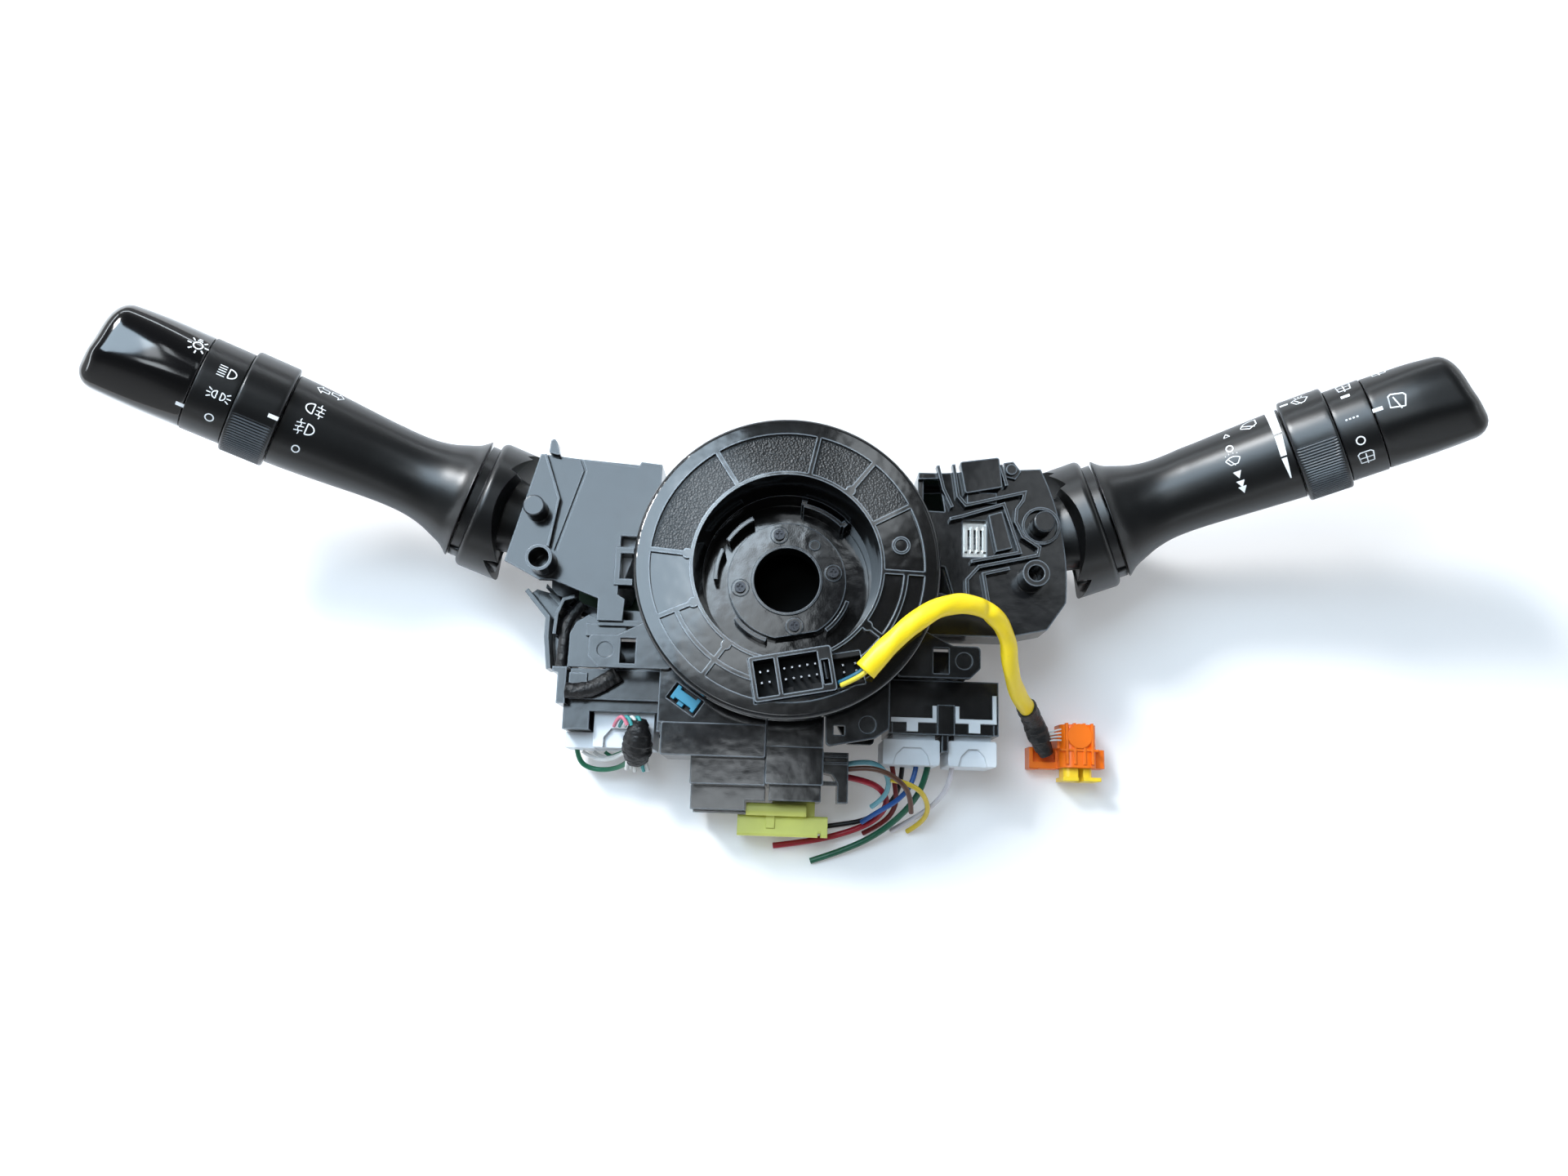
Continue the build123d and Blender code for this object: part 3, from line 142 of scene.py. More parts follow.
class Finish:
    def __init__(self, name):
        self.material = bpy.data.materials.new(name)
        self.material.use_nodes = True
        self.tree = self.material.node_tree
        self.tree.nodes.clear()

    def find(self, sockets, key):
        if isinstance(key, int):
            return sockets[key]
        return next(s for s in sockets if key in (s.identifier, s.name))

    def node(self, kind, settings=None, inputs=None):
        made = self.tree.nodes.new(kind)
        for key, value in (settings or {}).items():
            if key == "stops":
                self.set_stops(made.color_ramp, value)
            else:
                setattr(made, key, value)
        for key, value in (inputs or {}).items():
            socket = self.find(made.inputs, key)
            if isinstance(value, Wire):
                self.tree.links.new(value.socket, socket)
            else:
                socket.default_value = value
        return {word: Wire(self, s) for s in made.outputs for word in (s.identifier, s.name)}

    def set_stops(self, ramp, stops):
        while len(ramp.elements) < len(stops):
            ramp.elements.new(0.5)
        for element, (place, shade) in zip(ramp.elements, stops):
            element.position = place
            element.color = (shade, shade, shade, 1) if isinstance(shade, (int, float)) else shade

    def place(self):
        return self.node("ShaderNodeTexCoord")["Object"]

    def split(self, vector):
        parts = self.node("ShaderNodeSeparateXYZ", {}, {"Vector": vector})
        return parts["X"], parts["Y"], parts["Z"]

    def from_axis(self, x, y):
        return self.node("ShaderNodeMath", {"operation": "SQRT"}, {0: x * x + y * y})["Value"]

    def noise(self, scale, detail=3.0, rough=0.5, at=None, warp=0.0):
        return self.node("ShaderNodeTexNoise", {}, {
            "Vector": at or self.place(), "Scale": scale, "Detail": detail,
            "Roughness": rough, "Distortion": warp})["Fac"]

    def grains(self, scale, at=None):
        return self.node("ShaderNodeTexVoronoi", {"feature": "SMOOTH_F1"}, {
            "Vector": at or self.place(), "Scale": scale, "Smoothness": 0.4})["Distance"]

    def ramp(self, value, stops):
        return self.node("ShaderNodeValToRGB", {"stops": stops}, {"Fac": value})["Color"]

    def blend(self, share, a, b):
        return self.node("ShaderNodeMix", {"data_type": "RGBA"}, {
            "Factor_Float": share, "A_Color": a, "B_Color": b})["Result_Color"]

    def bump(self, height, strength, distance, normal=None):
        inputs = {"Height": height, "Strength": strength, "Distance": distance}
        if normal is not None:
            inputs["Normal"] = normal
        return self.node("ShaderNodeBump", {}, inputs)["Normal"]

    def soft_edge(self, radius):
        return self.node("ShaderNodeBevel", {"samples": 4}, {"Radius": radius})["Normal"]

    # Painted edge highlight, partly wear: a mask that is 1 on outer edges, found by occlusion inside the
    # solid.
    def edge_highlight_and_wear(self, reach):
        inside = {"inside": True, "only_local": True, "samples": 5}
        buried = self.node("ShaderNodeAmbientOcclusion", inside, {"Distance": reach})["AO"]
        return self.ramp(buried, [(0.60, 1.0), (0.86, 0.0)])

    def surface(self, shader):
        self.node("ShaderNodeOutputMaterial", {}, {"Surface": shader})
        return self.material

    def plastic(self, **sockets):
        words = {key.replace("_", " ").title().replace("Ior", "IOR"): value for key, value in sockets.items()}
        return self.surface(self.node("ShaderNodeBsdfPrincipled", {}, words)["BSDF"])


def rgb(r, g, b):
    return (r, g, b, 1.0)


print("shader helpers ready")

# %% [markdown]
# Floor and light
#
# The part lies on a plain pale table. A small key light high on the left draws the shadow. A wide cool
# window beside it is there to be mirrored by the left plate and the rim, dim panels overhead give the
# other flat faces something broken to mirror, and narrow strips near the horizon draw a thin line of light
# along rounded edges. The room is grey low down and nearly black overhead, because a black part looks
# black only where it has something dark to mirror. For rays from the camera, off glossy parts or through
# clear ones the table glows, a little near the part and fully far from it: it turns white, keeps the
# shadow, and lights nothing else. The camera sees the room behind it as white. Under the open bore the
# table carries painted shade: a near-black disc that doesn't glow, so the bore looks deep.

# %% Floor, world and lamps
def seen_rays(finish):
    path = finish.node("ShaderNodeLightPath")
    looking = path["Is Camera Ray"] + path["Is Glossy Ray"] + path["Is Transmission Ray"]
    return finish.node("ShaderNodeClamp", {}, {"Value": looking})["Result"]


# Reach of the painted shade under the bore, in metres.
bore_shade_reach = 0.023
glow_near, glow_starts, glow_grows = 0.14, 0.35, 0.6


def make_floor():
    finish = Finish("pale_floor")
    x, y, _ = finish.split(finish.place())
    reach = finish.from_axis(x, y)
    # Painted shade: inside this reach the table is coloured near black and its glow is cut, so the bore looks
    # deep.
    painted_bore_shade = reach.below(bore_shade_reach)
    shade = finish.blend(painted_bore_shade, rgb(0.88, 0.88, 0.89), rgb(0.02, 0.02, 0.02))
    card = finish.node("ShaderNodeBsdfDiffuse", {}, {"Color": shade})["BSDF"]
    away = finish.node("ShaderNodeClamp", {}, {"Value": (reach - glow_starts) / glow_grows})["Result"]
    lift = seen_rays(finish) * (1 - painted_bore_shade) * (away * (1 - glow_near) + glow_near)
    glow = finish.node("ShaderNodeEmission", {}, {"Color": rgb(1, 1, 1), "Strength": lift})["Emission"]
    finish.surface(finish.node("ShaderNodeAddShader", {}, {0: card, 1: glow})["Shader"])
    mesh = bpy.data.meshes.new("floor")
    half, height = 3.0, frame_box[0][2]
    corners = [(-half, -half, height), (half, -half, height), (half, half, height), (-half, half, height)]
    mesh.from_pydata(corners, [], [(0, 1, 2, 3)])
    mesh.materials.append(finish.material)
    floor = bpy.data.objects.new("floor", mesh)
    scene.collection.objects.link(floor)


def make_world():
    world = bpy.data.worlds.new("studio")
    scene.world = world
    world.use_nodes = True
    tree = world.node_tree
    ray = tree.nodes.new("ShaderNodeTexCoord")
    split = tree.nodes.new("ShaderNodeSeparateXYZ")
    walls = tree.nodes.new("ShaderNodeValToRGB")
    walls.color_ramp.elements.remove(walls.color_ramp.elements[-1])
    walls.color_ramp.elements[0].color = rgb(0.66, 0.68, 0.70)
    for place, level in ((0.35, 0.55), (0.60, 0.14), (0.85, 0.06)):
        stop = walls.color_ramp.elements.new(place)
        stop.color = rgb(0.94 * level, 0.97 * level, level)
    path = tree.nodes.new("ShaderNodeLightPath")
    seen = tree.nodes.new("ShaderNodeMix")
    seen.data_type = "RGBA"
    room, white = 6, 7
    seen.inputs[white].default_value = rgb(1, 1, 1)
    tree.links.new(ray.outputs["Generated"], split.inputs[0])
    tree.links.new(split.outputs["Z"], walls.inputs[0])
    tree.links.new(path.outputs["Is Camera Ray"], seen.inputs[0])
    tree.links.new(walls.outputs[0], seen.inputs[room])
    tree.links.new(seen.outputs[2], tree.nodes["Background"].inputs["Color"])


def softbox(name, place, aim, size, watts, colour):
    data = bpy.data.lights.new(name, "AREA")
    data.shape = "RECTANGLE"
    data.size, data.size_y = size
    data.energy = watts
    data.color = colour
    lamp = bpy.data.objects.new(name, data)
    scene.collection.objects.link(lamp)
    lamp.location = place
    lamp.rotation_euler = (Vector(aim) - Vector(place)).to_track_quat("-Z", "Y").to_euler()


make_floor()
make_world()
centre = (0.0, 0.0, 0.03)
softbox("key", (-0.62, 0.66, 0.95), centre, (0.24, 0.24), 15.0, (0.97, 0.985, 1.0))
softbox("window", (-0.38, 0.31, 1.10), centre, (0.54, 0.60), 9.0, (0.66, 0.84, 1.0))
panels = [(-0.06, 0.24, 0.14, 0.26, 0.60), (0.10, 0.36, 0.07, 0.16, 0.18), (-0.08, -0.075, 0.20, 0.15, 0.55),
          (0.32, 0.32, 0.16, 0.22, 0.20)]
for number, (x, y, wide, deep, watts) in enumerate(panels):
    softbox(f"panel_{number}", (x, y, 1.12), (x, y, 0.0), (wide, deep), watts, (0.88, 0.95, 1.0))
strips = [(-1.0, 0.25, 2.6), (-0.15, 1.05, 2.6), (1.0, 0.35, 1.2), (0.1, -1.0, 0.7)]
for number, (x, y, watts) in enumerate(strips):
    softbox(f"strip_{number}", (x, y, 0.46), centre, (1.3, 0.05), watts, (0.85, 0.93, 1.0))
print("light ready")

# %% [markdown]
# The yellow lead and the cut wires
#
# A cable lies in one smooth curve. A NURBS line does that from few control points: it is pulled towards
# them without touching them, so it never shows a corner. The points are the route that the solids follow.
# A plain wire is that line with a round section. The yellow sleeve is soft and hollow, so it is a mesh
# wrapped round the same line, flattened a little, with a crease where it turns down.

# %% Routes in millimetres
lead_line = [
    (25.6, -34.4, 70.2), (31.0, -28.0, 71.6), (38.2, -20.8, 72.4), (47.2, -13.8, 72.4),
    (57.6, -11.0, 69.1), (67.1, -12.9, 63.2), (73.3, -19.2, 56.2), (75.1, -28.2, 49.6),
    (79.0, -34.6, 38.6), (83.6, -38.0, 28.6), (87.8, -40.2, 20.0)]
lead_start = [(17.9, -38.4, 66.6), (21.6, -36.9, 68.7)]


def beside(points, share):
    return [(x + 0.36 * share, y - 0.47 * share, z + 0.74 * share) for x, y, z in points]


routes = {
    "lead_wire_yellow": (1.6, beside(lead_start + lead_line, 1)),
    "lead_wire_blue": (1.6, beside(lead_start + lead_line, -1)),
    "wire_green": (2.2, [(51.6, -60.0, 20.0), (50.4, -67.0, 18.6), (45.4, -75.4, 12.0),
                         (36.4, -83.6, 6.2), (24.4, -90.0, 2.8), (11.6, -94.4, 1.3)]),
    "wire_red": (2.2, [(22.4, -65.0, 22.0), (29.0, -66.0, 22.0), (35.4, -68.4, 18.4), (38.6, -73.4, 12.4),
                       (34.4, -79.4, 7.2), (25.6, -83.6, 4.2), (12.0, -87.4, 2.6), (-2.0, -89.4, 1.4)]),
    "wire_brown": (1.8, [(22.4, -63.0, 30.4), (28.6, -62.2, 32.2), (35.0, -63.2, 33.0),
                         (41.0, -66.4, 31.4), (45.0, -71.2, 27.4), (45.6, -76.6, 22.6)]),
    "wire_dark_red": (1.8, [(39.2, -60.0, 17.0), (40.6, -67.0, 15.6), (41.8, -74.0, 10.4),
                            (37.6, -80.4, 5.4), (30.4, -84.0, 1.6)]),
    "wire_blue": (1.8, [(47.6, -60.0, 19.4), (46.6, -66.4, 19.6), (41.6, -72.4, 17.6),
                        (34.6, -76.6, 13.2), (29.4, -80.2, 8.6)]),
    "wire_light_blue": (1.8, [(22.4, -61.0, 26.0), (28.2, -59.8, 27.4), (34.2, -60.8, 26.6),
                              (38.0, -65.6, 23.6), (37.0, -71.6, 18.8), (32.4, -74.8, 14.2)]),
    "wire_yellow": (1.8, [(38.0, -65.8, 27.8), (43.8, -66.6, 26.4), (49.8, -69.6, 21.8),
                          (52.8, -75.0, 14.4), (51.0, -79.8, 7.2), (46.4, -82.8, 1.8)]),
    "wire_black": (1.8, [(43.2, -60.0, 14.0), (43.0, -67.4, 11.8), (38.8, -74.6, 7.4),
                         (31.2, -79.4, 3.6), (22.0, -81.2, 1.7), (12.6, -82.6, 1.0)]),
    "wire_white": (1.8, [(60.1, -60.0, 20.0), (59.6, -66.4, 17.0), (55.8, -72.6, 11.6),
                         (48.6, -78.2, 6.4), (40.4, -82.8, 2.0)]),
    "wire_left_green": (1.8, [(-73.4, -57.4, 12.0), (-73.0, -62.0, 9.4), (-68.2, -64.6, 7.4),
                              (-61.0, -64.6, 9.0), (-54.8, -62.6, 14.6), (-51.0, -59.2, 21.3)]),
}
print("routes:", len(routes) + 1)


# %% Smooth lines and meshes
def smooth_line(name, points, thick=0.0):
    curve = bpy.data.curves.new(name, "CURVE")
    curve.dimensions = "3D"
    line = curve.splines.new("NURBS")
    line.points.add(len(points) - 1)
    for spot, point in zip(line.points, points):
        spot.co = [MM * v for v in point] + [1.0]
    line.order_u = 3
    line.use_endpoint_u = True
    line.resolution_u = 14
    curve.bevel_depth = MM * thick / 2
    curve.bevel_resolution = 5
    curve.use_fill_caps = True
    made = bpy.data.objects.new(name, curve)
    scene.collection.objects.link(made)
    return made


def line_points(points):
    guide = smooth_line("guide", points)
    bpy.context.view_layer.update()
    mesh = bpy.data.meshes.new_from_object(guide)
    found = [v.co.copy() for v in mesh.vertices]
    bpy.data.objects.remove(guide)
    bpy.data.meshes.remove(mesh)
    return found


def length_of(points):
    return sum((b - a).length for a, b in zip(points, points[1:]))


def bridge(shape, rings):
    count = len(rings[0])
    for low, high in zip(rings, rings[1:]):
        for j in range(count):
            shape.faces.new((low[j], low[(j + 1) % count], high[(j + 1) % count], high[j])).smooth = True


def link_piece(name, shape):
    mesh = bpy.data.meshes.new(name)
    shape.to_mesh(mesh)
    shape.free()
    piece = bpy.data.objects.new(name, mesh)
    scene.collection.objects.link(piece)
    return piece


print("line and mesh helpers ready")

# %% [markdown]
# Finishes for insulation
#
# Wire insulation is soft plastic: it shines broadly, and handling leaves faint smears. Noise in the
# roughness gives the smears; a very low bump gives the unevenness of the drawn plastic.

# %% Wire finishes
def insulation(name, colour, rough=0.34):
    finish = Finish(name)
    smear = finish.noise(700, 3)
    shade = finish.noise(260, 2)
    dark = rgb(*[0.72 * c for c in colour])
    tint = finish.blend(shade, dark, rgb(*colour))
    relief = finish.bump(finish.noise(1500, 2), 0.25, 0.00006)
    return finish.plastic(base_color=tint, roughness=rough - 0.08 + smear * 0.2, normal=relief)


wire_colours = {
    "wire_green": (0.012, 0.115, 0.060), "wire_red": (0.42, 0.010, 0.028),
    "wire_brown": (0.105, 0.040, 0.022), "wire_dark_red": (0.20, 0.015, 0.015),
    "wire_blue": (0.018, 0.10, 0.36), "wire_light_blue": (0.16, 0.40, 0.47),
    "wire_yellow": (0.78, 0.56, 0.03), "wire_black": (0.008, 0.008, 0.009),
    "wire_white": (0.78, 0.74, 0.78), "wire_left_green": (0.02, 0.20, 0.10),
    "lead_wire_yellow": (0.80, 0.66, 0.05), "lead_wire_blue": (0.02, 0.13, 0.22),
}


def cut_wire(name):
    thick, points = routes[name]
    piece = smooth_line(name + "_wire", points, thick)
    piece.data.materials.append(insulation(name + "_skin", wire_colours[name]))
    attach(piece, "root")
    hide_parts(name)
    [MM * v for v in points[0]]
    length_of(line_points(points))
    MM * thick


for wire in routes:
    if wire.startswith("wire_"):
        cut_wire(wire)
print("cut wires:", sum(1 for w in routes if w.startswith("wire_")))


# %% A tube wrapped round a line
def turning_frames(points):
    frames = []
    side = None
    for k, point in enumerate(points):
        ahead = (points[min(k + 1, len(points) - 1)] - points[max(k - 1, 0)]).normalized()
        if side is None:
            side = ahead.cross(Vector((0, 0, 1))).normalized()
        side = (side - ahead * side.dot(ahead)).normalized()
        frames.append((point, side, ahead.cross(side)))
    return frames


def wrap_tube(name, points, radius, sides, close=True):
    shape = bmesh.new()
    rings = []
    frames = turning_frames(points)
    total = len(frames) - 1
    for k, (point, side, up) in enumerate(frames):
        ring = []
        for j in range(sides):
            angle = 2 * math.pi * j / sides
            wide, tall = radius(k / total, angle)
            ring.append(shape.verts.new(point + side * wide * math.cos(angle) + up * tall * math.sin(angle)))
        rings.append(ring)
    bridge(shape, rings)
    if close:
        shape.faces.new(list(reversed(rings[0])))
        shape.faces.new(rings[-1])
    return link_piece(name, shape)


print("tube helper ready")

# %% [markdown]
# The airbag lead
#
# Two thin wires leave the socket on the turning ring and run inside a yellow sleeve down to a bandage of
# black tape. One end turns with the ring and the other lies on the table. These pieces are baked in place
# where they lie and are tied to neither body.


def bend_between(piece):
    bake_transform(piece)


def lead_wire(name):
    thick, points = routes[name]
    path = line_points(points)
    half = MM * thick / 2
    piece = wrap_tube(name + "_wire", path, lambda along, angle: (half, half), 14)
    piece.data.materials.append(insulation(name + "_skin", wire_colours[name]))
    bend_between(piece)
    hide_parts(name)
    [MM * v for v in points[0]]
    MM * thick


def sleeve_radius(along, angle):
    crease = math.exp(-((along - 0.47) / 0.018) ** 2)
    dent = math.exp(-((along - 0.62) / 0.03) ** 2) + math.exp(-((along - 0.80) / 0.04) ** 2)
    flat = 0.10 + 0.05 * math.sin(9 * along)
    ripple = 0.03 * math.sin(37 * along + 2 * angle) + 0.02 * math.sin(61 * along + 3 * angle)
    flare = 0.12 * math.exp(-along / 0.03)
    wide = 3.15 * (1 + flat * 0.4 + ripple + flare + 0.05 * crease)
    tall = 2.85 * (1 - flat * 0.5 + ripple + flare - 0.34 * crease - 0.08 * dent)
    return MM * wide, MM * tall


def yellow_finish():
    finish = Finish("yellow_sleeve")
    stain = finish.noise(90, 4, 0.6)
    speck = finish.noise(900, 3, 0.6)
    clean = finish.blend(stain, rgb(0.97, 0.66, 0.004), rgb(1.0, 0.79, 0.012))
    dirt = finish.ramp(speck, [(0.66, 0.0), (0.80, 0.55)])
    tint = finish.blend(dirt, clean, rgb(0.42, 0.24, 0.03))
    relief = finish.bump(finish.noise(420, 4, 0.6, warp=0.6) + finish.noise(1600, 2) * 0.25, 0.5, 0.00025)
    return finish.plastic(base_color=tint, roughness=0.40 + stain * 0.18, normal=relief, coat_weight=0.15,
                          coat_roughness=0.3)


def yellow_sleeve():
    path = line_points(lead_line)
    outer = wrap_tube("lead_sleeve_skin", path, sleeve_radius, 40, close=False)
    skin = outer.modifiers.new("wall", "SOLIDIFY")
    skin.thickness = MM * 0.5
    skin.offset = -1
    skin.use_rim = True
    outer.data.materials.append(yellow_finish())
    bend_between(outer)
    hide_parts("lead_sleeve")


lead_wire("lead_wire_yellow")
lead_wire("lead_wire_blue")
yellow_sleeve()
print("lead ready")

# %% [markdown]
# Black mouldings
#
# Nearly everything here is black glass-filled plastic, and black parts are read by their highlights. So
# each moulding differs in roughness and grain: the stalks are satin with a fine grain, the ring is glossy
# and the cases lie between. A bevel in the normal rounds the edges by a fraction of a millimetre, without
# new faces. On some mouldings a grey tint on the outer edges is a painted highlight that partly stands for
# wear.

# %% Plastic finishes
# Grey painted into outer edges as a highlight, partly standing for wear.
edge_highlight_grey = rgb(0.25, 0.29, 0.33)


def moulded(name, colour, rough, grain=2600, grain_strength=0.25, smears=0.12, edge=0.00045, coat=0.0,
            sink=0.22, lit_edge=0.0):
    finish = Finish(name)
    cloud = finish.noise(38, 4, 0.6)
    hand = finish.noise(210, 4, 0.65, warp=0.4)
    shine = rough + (hand - 0.5) * smears + (cloud - 0.5) * smears
    tint = finish.blend(cloud, rgb(*[0.8 * c for c in colour]), rgb(*[1.25 * c for c in colour]))
    # Painted edge highlight, partly wear, on the moulding's outer edges; the ribs of the grip rings get it
    # too.
    if lit_edge:
        tint = finish.blend(finish.edge_highlight_and_wear(0.0006) * lit_edge, tint, edge_highlight_grey)
    rounded = finish.soft_edge(edge)
    uneven = finish.bump(finish.noise(60, 3, 0.5), sink, 0.001, rounded) if sink else rounded
    relief = finish.bump(finish.grains(grain), grain_strength, 0.00005, uneven)
    return finish.plastic(base_color=tint, roughness=shine, normal=relief, coat_weight=coat,
                          coat_roughness=0.12)


def metal(name, colour, rough):
    finish = Finish(name)
    scratch = finish.noise(600, 4, 0.7)
    relief = finish.bump(finish.noise(2400, 2), 0.3, 0.00004, finish.soft_edge(0.00012))
    return finish.plastic(base_color=rgb(*colour), metallic=1.0, roughness=rough + (scratch - 0.5) * 0.2,
                          normal=relief)


def ring_finish():
    finish = Finish("ring_black")
    x, y, z = finish.split(finish.place())
    turn = finish.node("ShaderNodeMath", {"operation": "ARCTAN2"}, {0: y, 1: x})["Value"] * (180 / math.pi)
    reach = finish.from_axis(x, y)
    pocket = reach.above(rib_inner) * reach.below(rib_outer) * z.below(ring_top - 0.0004)
    grained = turn.above(grain_start) * turn.below(grain_end) * pocket
    cloud = finish.noise(30, 3, 0.6, warp=0.5)
    blotch = finish.noise(75, 4, 0.6, warp=1.2)
    tint = finish.blend(blotch, rgb(0.003, 0.003, 0.0034), rgb(0.007, 0.0066, 0.0062))
    tint = finish.blend(grained * 0.7, tint, rgb(0.003, 0.003, 0.0032))
    # Painted edge highlight, partly wear, on the ring's outer edges.
    tint = finish.blend(finish.edge_highlight_and_wear(0.0006) * 0.9, tint, edge_highlight_grey)
    pits = finish.bump(finish.grains(1500), grained * 0.9, 0.0003, finish.soft_edge(0.00035))
    relief = finish.bump(finish.noise(55, 3, 0.5), 0.25, 0.0010, pits)
    shine = 0.04 + cloud * 0.14 + grained * 0.34
    return finish.plastic(base_color=tint, roughness=shine, normal=relief, coat_weight=0.2,
                          coat_roughness=0.08)


def socket_finish():
    finish = Finish("socket_black")
    z = finish.split(finish.place())[2]
    top = max(v.co.z for v in nodes["rotor_connector"].data.vertices)
    deep = z.below(top - 0.003)
    # Painted edge highlight, partly wear, on the socket's upper edges; none deep inside.
    tint = finish.blend(finish.edge_highlight_and_wear(0.0006) * (1 - deep), rgb(0.003, 0.003, 0.0033), edge_highlight_grey)
    relief = finish.bump(finish.noise(60, 3), 0.2, 0.001, finish.soft_edge(0.0004))
    shine = 0.13 + finish.noise(200, 3) * 0.1 + deep * 0.6
    return finish.plastic(base_color=tint, roughness=shine, normal=relief)


ring_top = max(v.co.z for v in nodes["rotor_disc"].data.vertices)
rib_inner, rib_outer = 0.0315, 0.0465
grain_start, grain_end = 30.0, 176.0
paints = {
    "ring": ring_finish(),
    "loom_socket": socket_finish(),
    "pin": metal("tinned_pin", (0.30, 0.30, 0.31), 0.24),
    "hub": moulded("hub_black", (0.004, 0.004, 0.0045), 0.11, 1800, 0.08, 0.14, lit_edge=0.5),
    "case": moulded("case_black", (0.006, 0.0062, 0.0066), 0.17, 2600, 0.10, 0.16, lit_edge=0.5),
    "lid": moulded("lid_black", (0.008, 0.0085, 0.010), 0.17, 3000, 0.10, 0.14, lit_edge=0.6),
    "rib_lid": moulded("rib_lid_black", (0.006, 0.0062, 0.007), 0.15, 3000, 0.10, 0.16, lit_edge=0.7),
    "stalk": moulded("stalk_black", (0.0045, 0.0047, 0.005), 0.32, 3400, 0.10, 0.06, 0.0003, 0.0, 0.0),
    "grip": moulded("grip_black", (0.0045, 0.0047, 0.005), 0.30, 3400, 0.10, 0.06, 0.0002, 0.0, 0.0, 0.45),
    "knob": moulded("knob_black", (0.003, 0.003, 0.0034), 0.10, 1500, 0.02, 0.08, 0.0004, 0.4, 0.0),
    "socket": moulded("socket_black", (0.004, 0.004, 0.0044), 0.20, 2600, 0.10, lit_edge=0.8),
    "block": moulded("block_black", (0.005, 0.0052, 0.0058), 0.12, 2600, 0.06, lit_edge=0.7),
    "dark_steel": metal("blackened_steel", (0.035, 0.035, 0.038), 0.26),
    "white": moulded("white_plastic", (0.70, 0.74, 0.78), 0.42, 2200, 0.15),
    "blue": moulded("blue_plastic", (0.008, 0.20, 0.33), 0.38, 2200, 0.15),
    "lime": moulded("lime_plastic", (0.68, 0.70, 0.16), 0.42, 2200, 0.15, 0.12),
    "orange": moulded("orange_plastic", (0.98, 0.19, 0.006), 0.36, 2200, 0.12, 0.12),
    "yellow": moulded("yellow_plastic", (0.95, 0.68, 0.03), 0.38, 2200, 0.12, 0.12),
    "board": moulded("green_board", (0.02, 0.06, 0.03), 0.40),
    "film": moulded("cable_film", (0.45, 0.42, 0.36), 0.45),
    "steel": metal("zinc_steel", (0.55, 0.55, 0.53), 0.32),
}
print("finishes:", len(paints))

# %% Paint the frame's own pieces
paint_of = {
    "ring": ["rotor_disc"],
    "hub": ["rotor_hub"],
    "case": ["spiral_case", "angle_sensor", "column_bracket", "left_case", "right_case", "side_clip"],
    "lid": ["left_cover"],
    "rib_lid": ["right_cover"],
    "stalk": [side + part for side in ("left_", "right_")
              for part in ("lever_root", "lever_arm", "ring", "lever_sleeve")] + ["right_knob"],
    "knob": ["left_knob"],
    "socket": ["left_socket", "right_socket"],
    "loom_socket": ["rotor_connector"],
    "pin": ["rotor_pins"],
    "block": ["lower_housing", "lower_cover"],
    "white": ["left_cradle", "right_cradle", "socket_rails", "right_plugs", "left_plug"],
    "blue": ["lock_slide"],
    "lime": ["main_plug"],
    "orange": ["squib_plug"],
    "yellow": ["squib_insert"],
    "board": ["left_board", "right_board"],
    "film": ["ribbon_cable"],
    "steel": ["column_clamp", "clamp_screw", "left_detent", "right_detent", "right_contacts"],
    "dark_steel": ["hub_screws", "case_screws"],
}


def paint(piece, material):
    piece.data.materials.clear()
    piece.data.materials.append(material)


for word, names in paint_of.items():
    for name in names:
        paint(nodes[name], paints[word])
print("painted:", sum(len(names) for names in paint_of.values()))


# %% Cloth tape
def tape_finish():
    finish = Finish("cloth_tape")
    weave = finish.noise(2600, 2) * 0.6 + finish.noise(700, 3) * 0.8
    relief = finish.bump(weave, 0.7, 0.0003)
    return finish.plastic(base_color=rgb(0.0045, 0.0045, 0.005), roughness=0.36 + finish.noise(500) * 0.2,
                          normal=relief)


tape = tape_finish()
for name in ("lead_tape", "left_tape"):
    paint(nodes[name], tape)
print("taped: 2")

# %% [markdown]
# The stalks
#
# Each stalk is a line that leaves its pivot, bends a little towards the driver, and carries round
# sections: a waisted arm, a ring, a fixed sleeve and a knob. The same line is used for everything on it.
# A place on a stalk is given by how far along it lies and by the angle round it: 0 is the upper edge in
# the picture, 90 faces the driver, 180 is the lower edge. That is also how the printed signs find their
# place on the curved surface. A short curved skirt closes the gap under each lever's mouth; its form is
# guessed.

# %% The line of a stalk
stalks = {
    "left": {"side": -1, "arm_end": 118.8, "arm": 15.4, "waist": 13.4, "ring": 17.2, "ring_long": 14.0,
             "sleeve": 15.6, "sleeve_long": 12.6, "knob": 15.4, "knob_long": 32.6, "slant": 0.11,
             "ribbed": (113, 292), "upper": 0.8},
    "right": {"side": 1, "arm_end": 115.7, "arm": 14.5, "waist": 13.2, "ring": 16.3, "ring_long": 13.8,
              "sleeve": 14.6, "sleeve_long": 11.2, "knob": 14.3, "knob_long": 31.6, "slant": 0.19,
              "ribbed": (95, 275), "upper": 1.9},
}
gap = 0.3
arm_start = 52.9
pivot = (64.2, 10.5, 24.0)
lever_angle, lever_rise = 18.3, 17.0
bend_start, bend_long, bend_rise, bend_turn = 66.0, 49.0, 9.0, 1.3


def turned(degrees, axis):
    return Matrix.Rotation(math.radians(degrees), 4, axis)


def rising_line():
    return Matrix.Translation(pivot) @ turned(lever_angle, "Z") @ turned(-lever_rise, "Y")


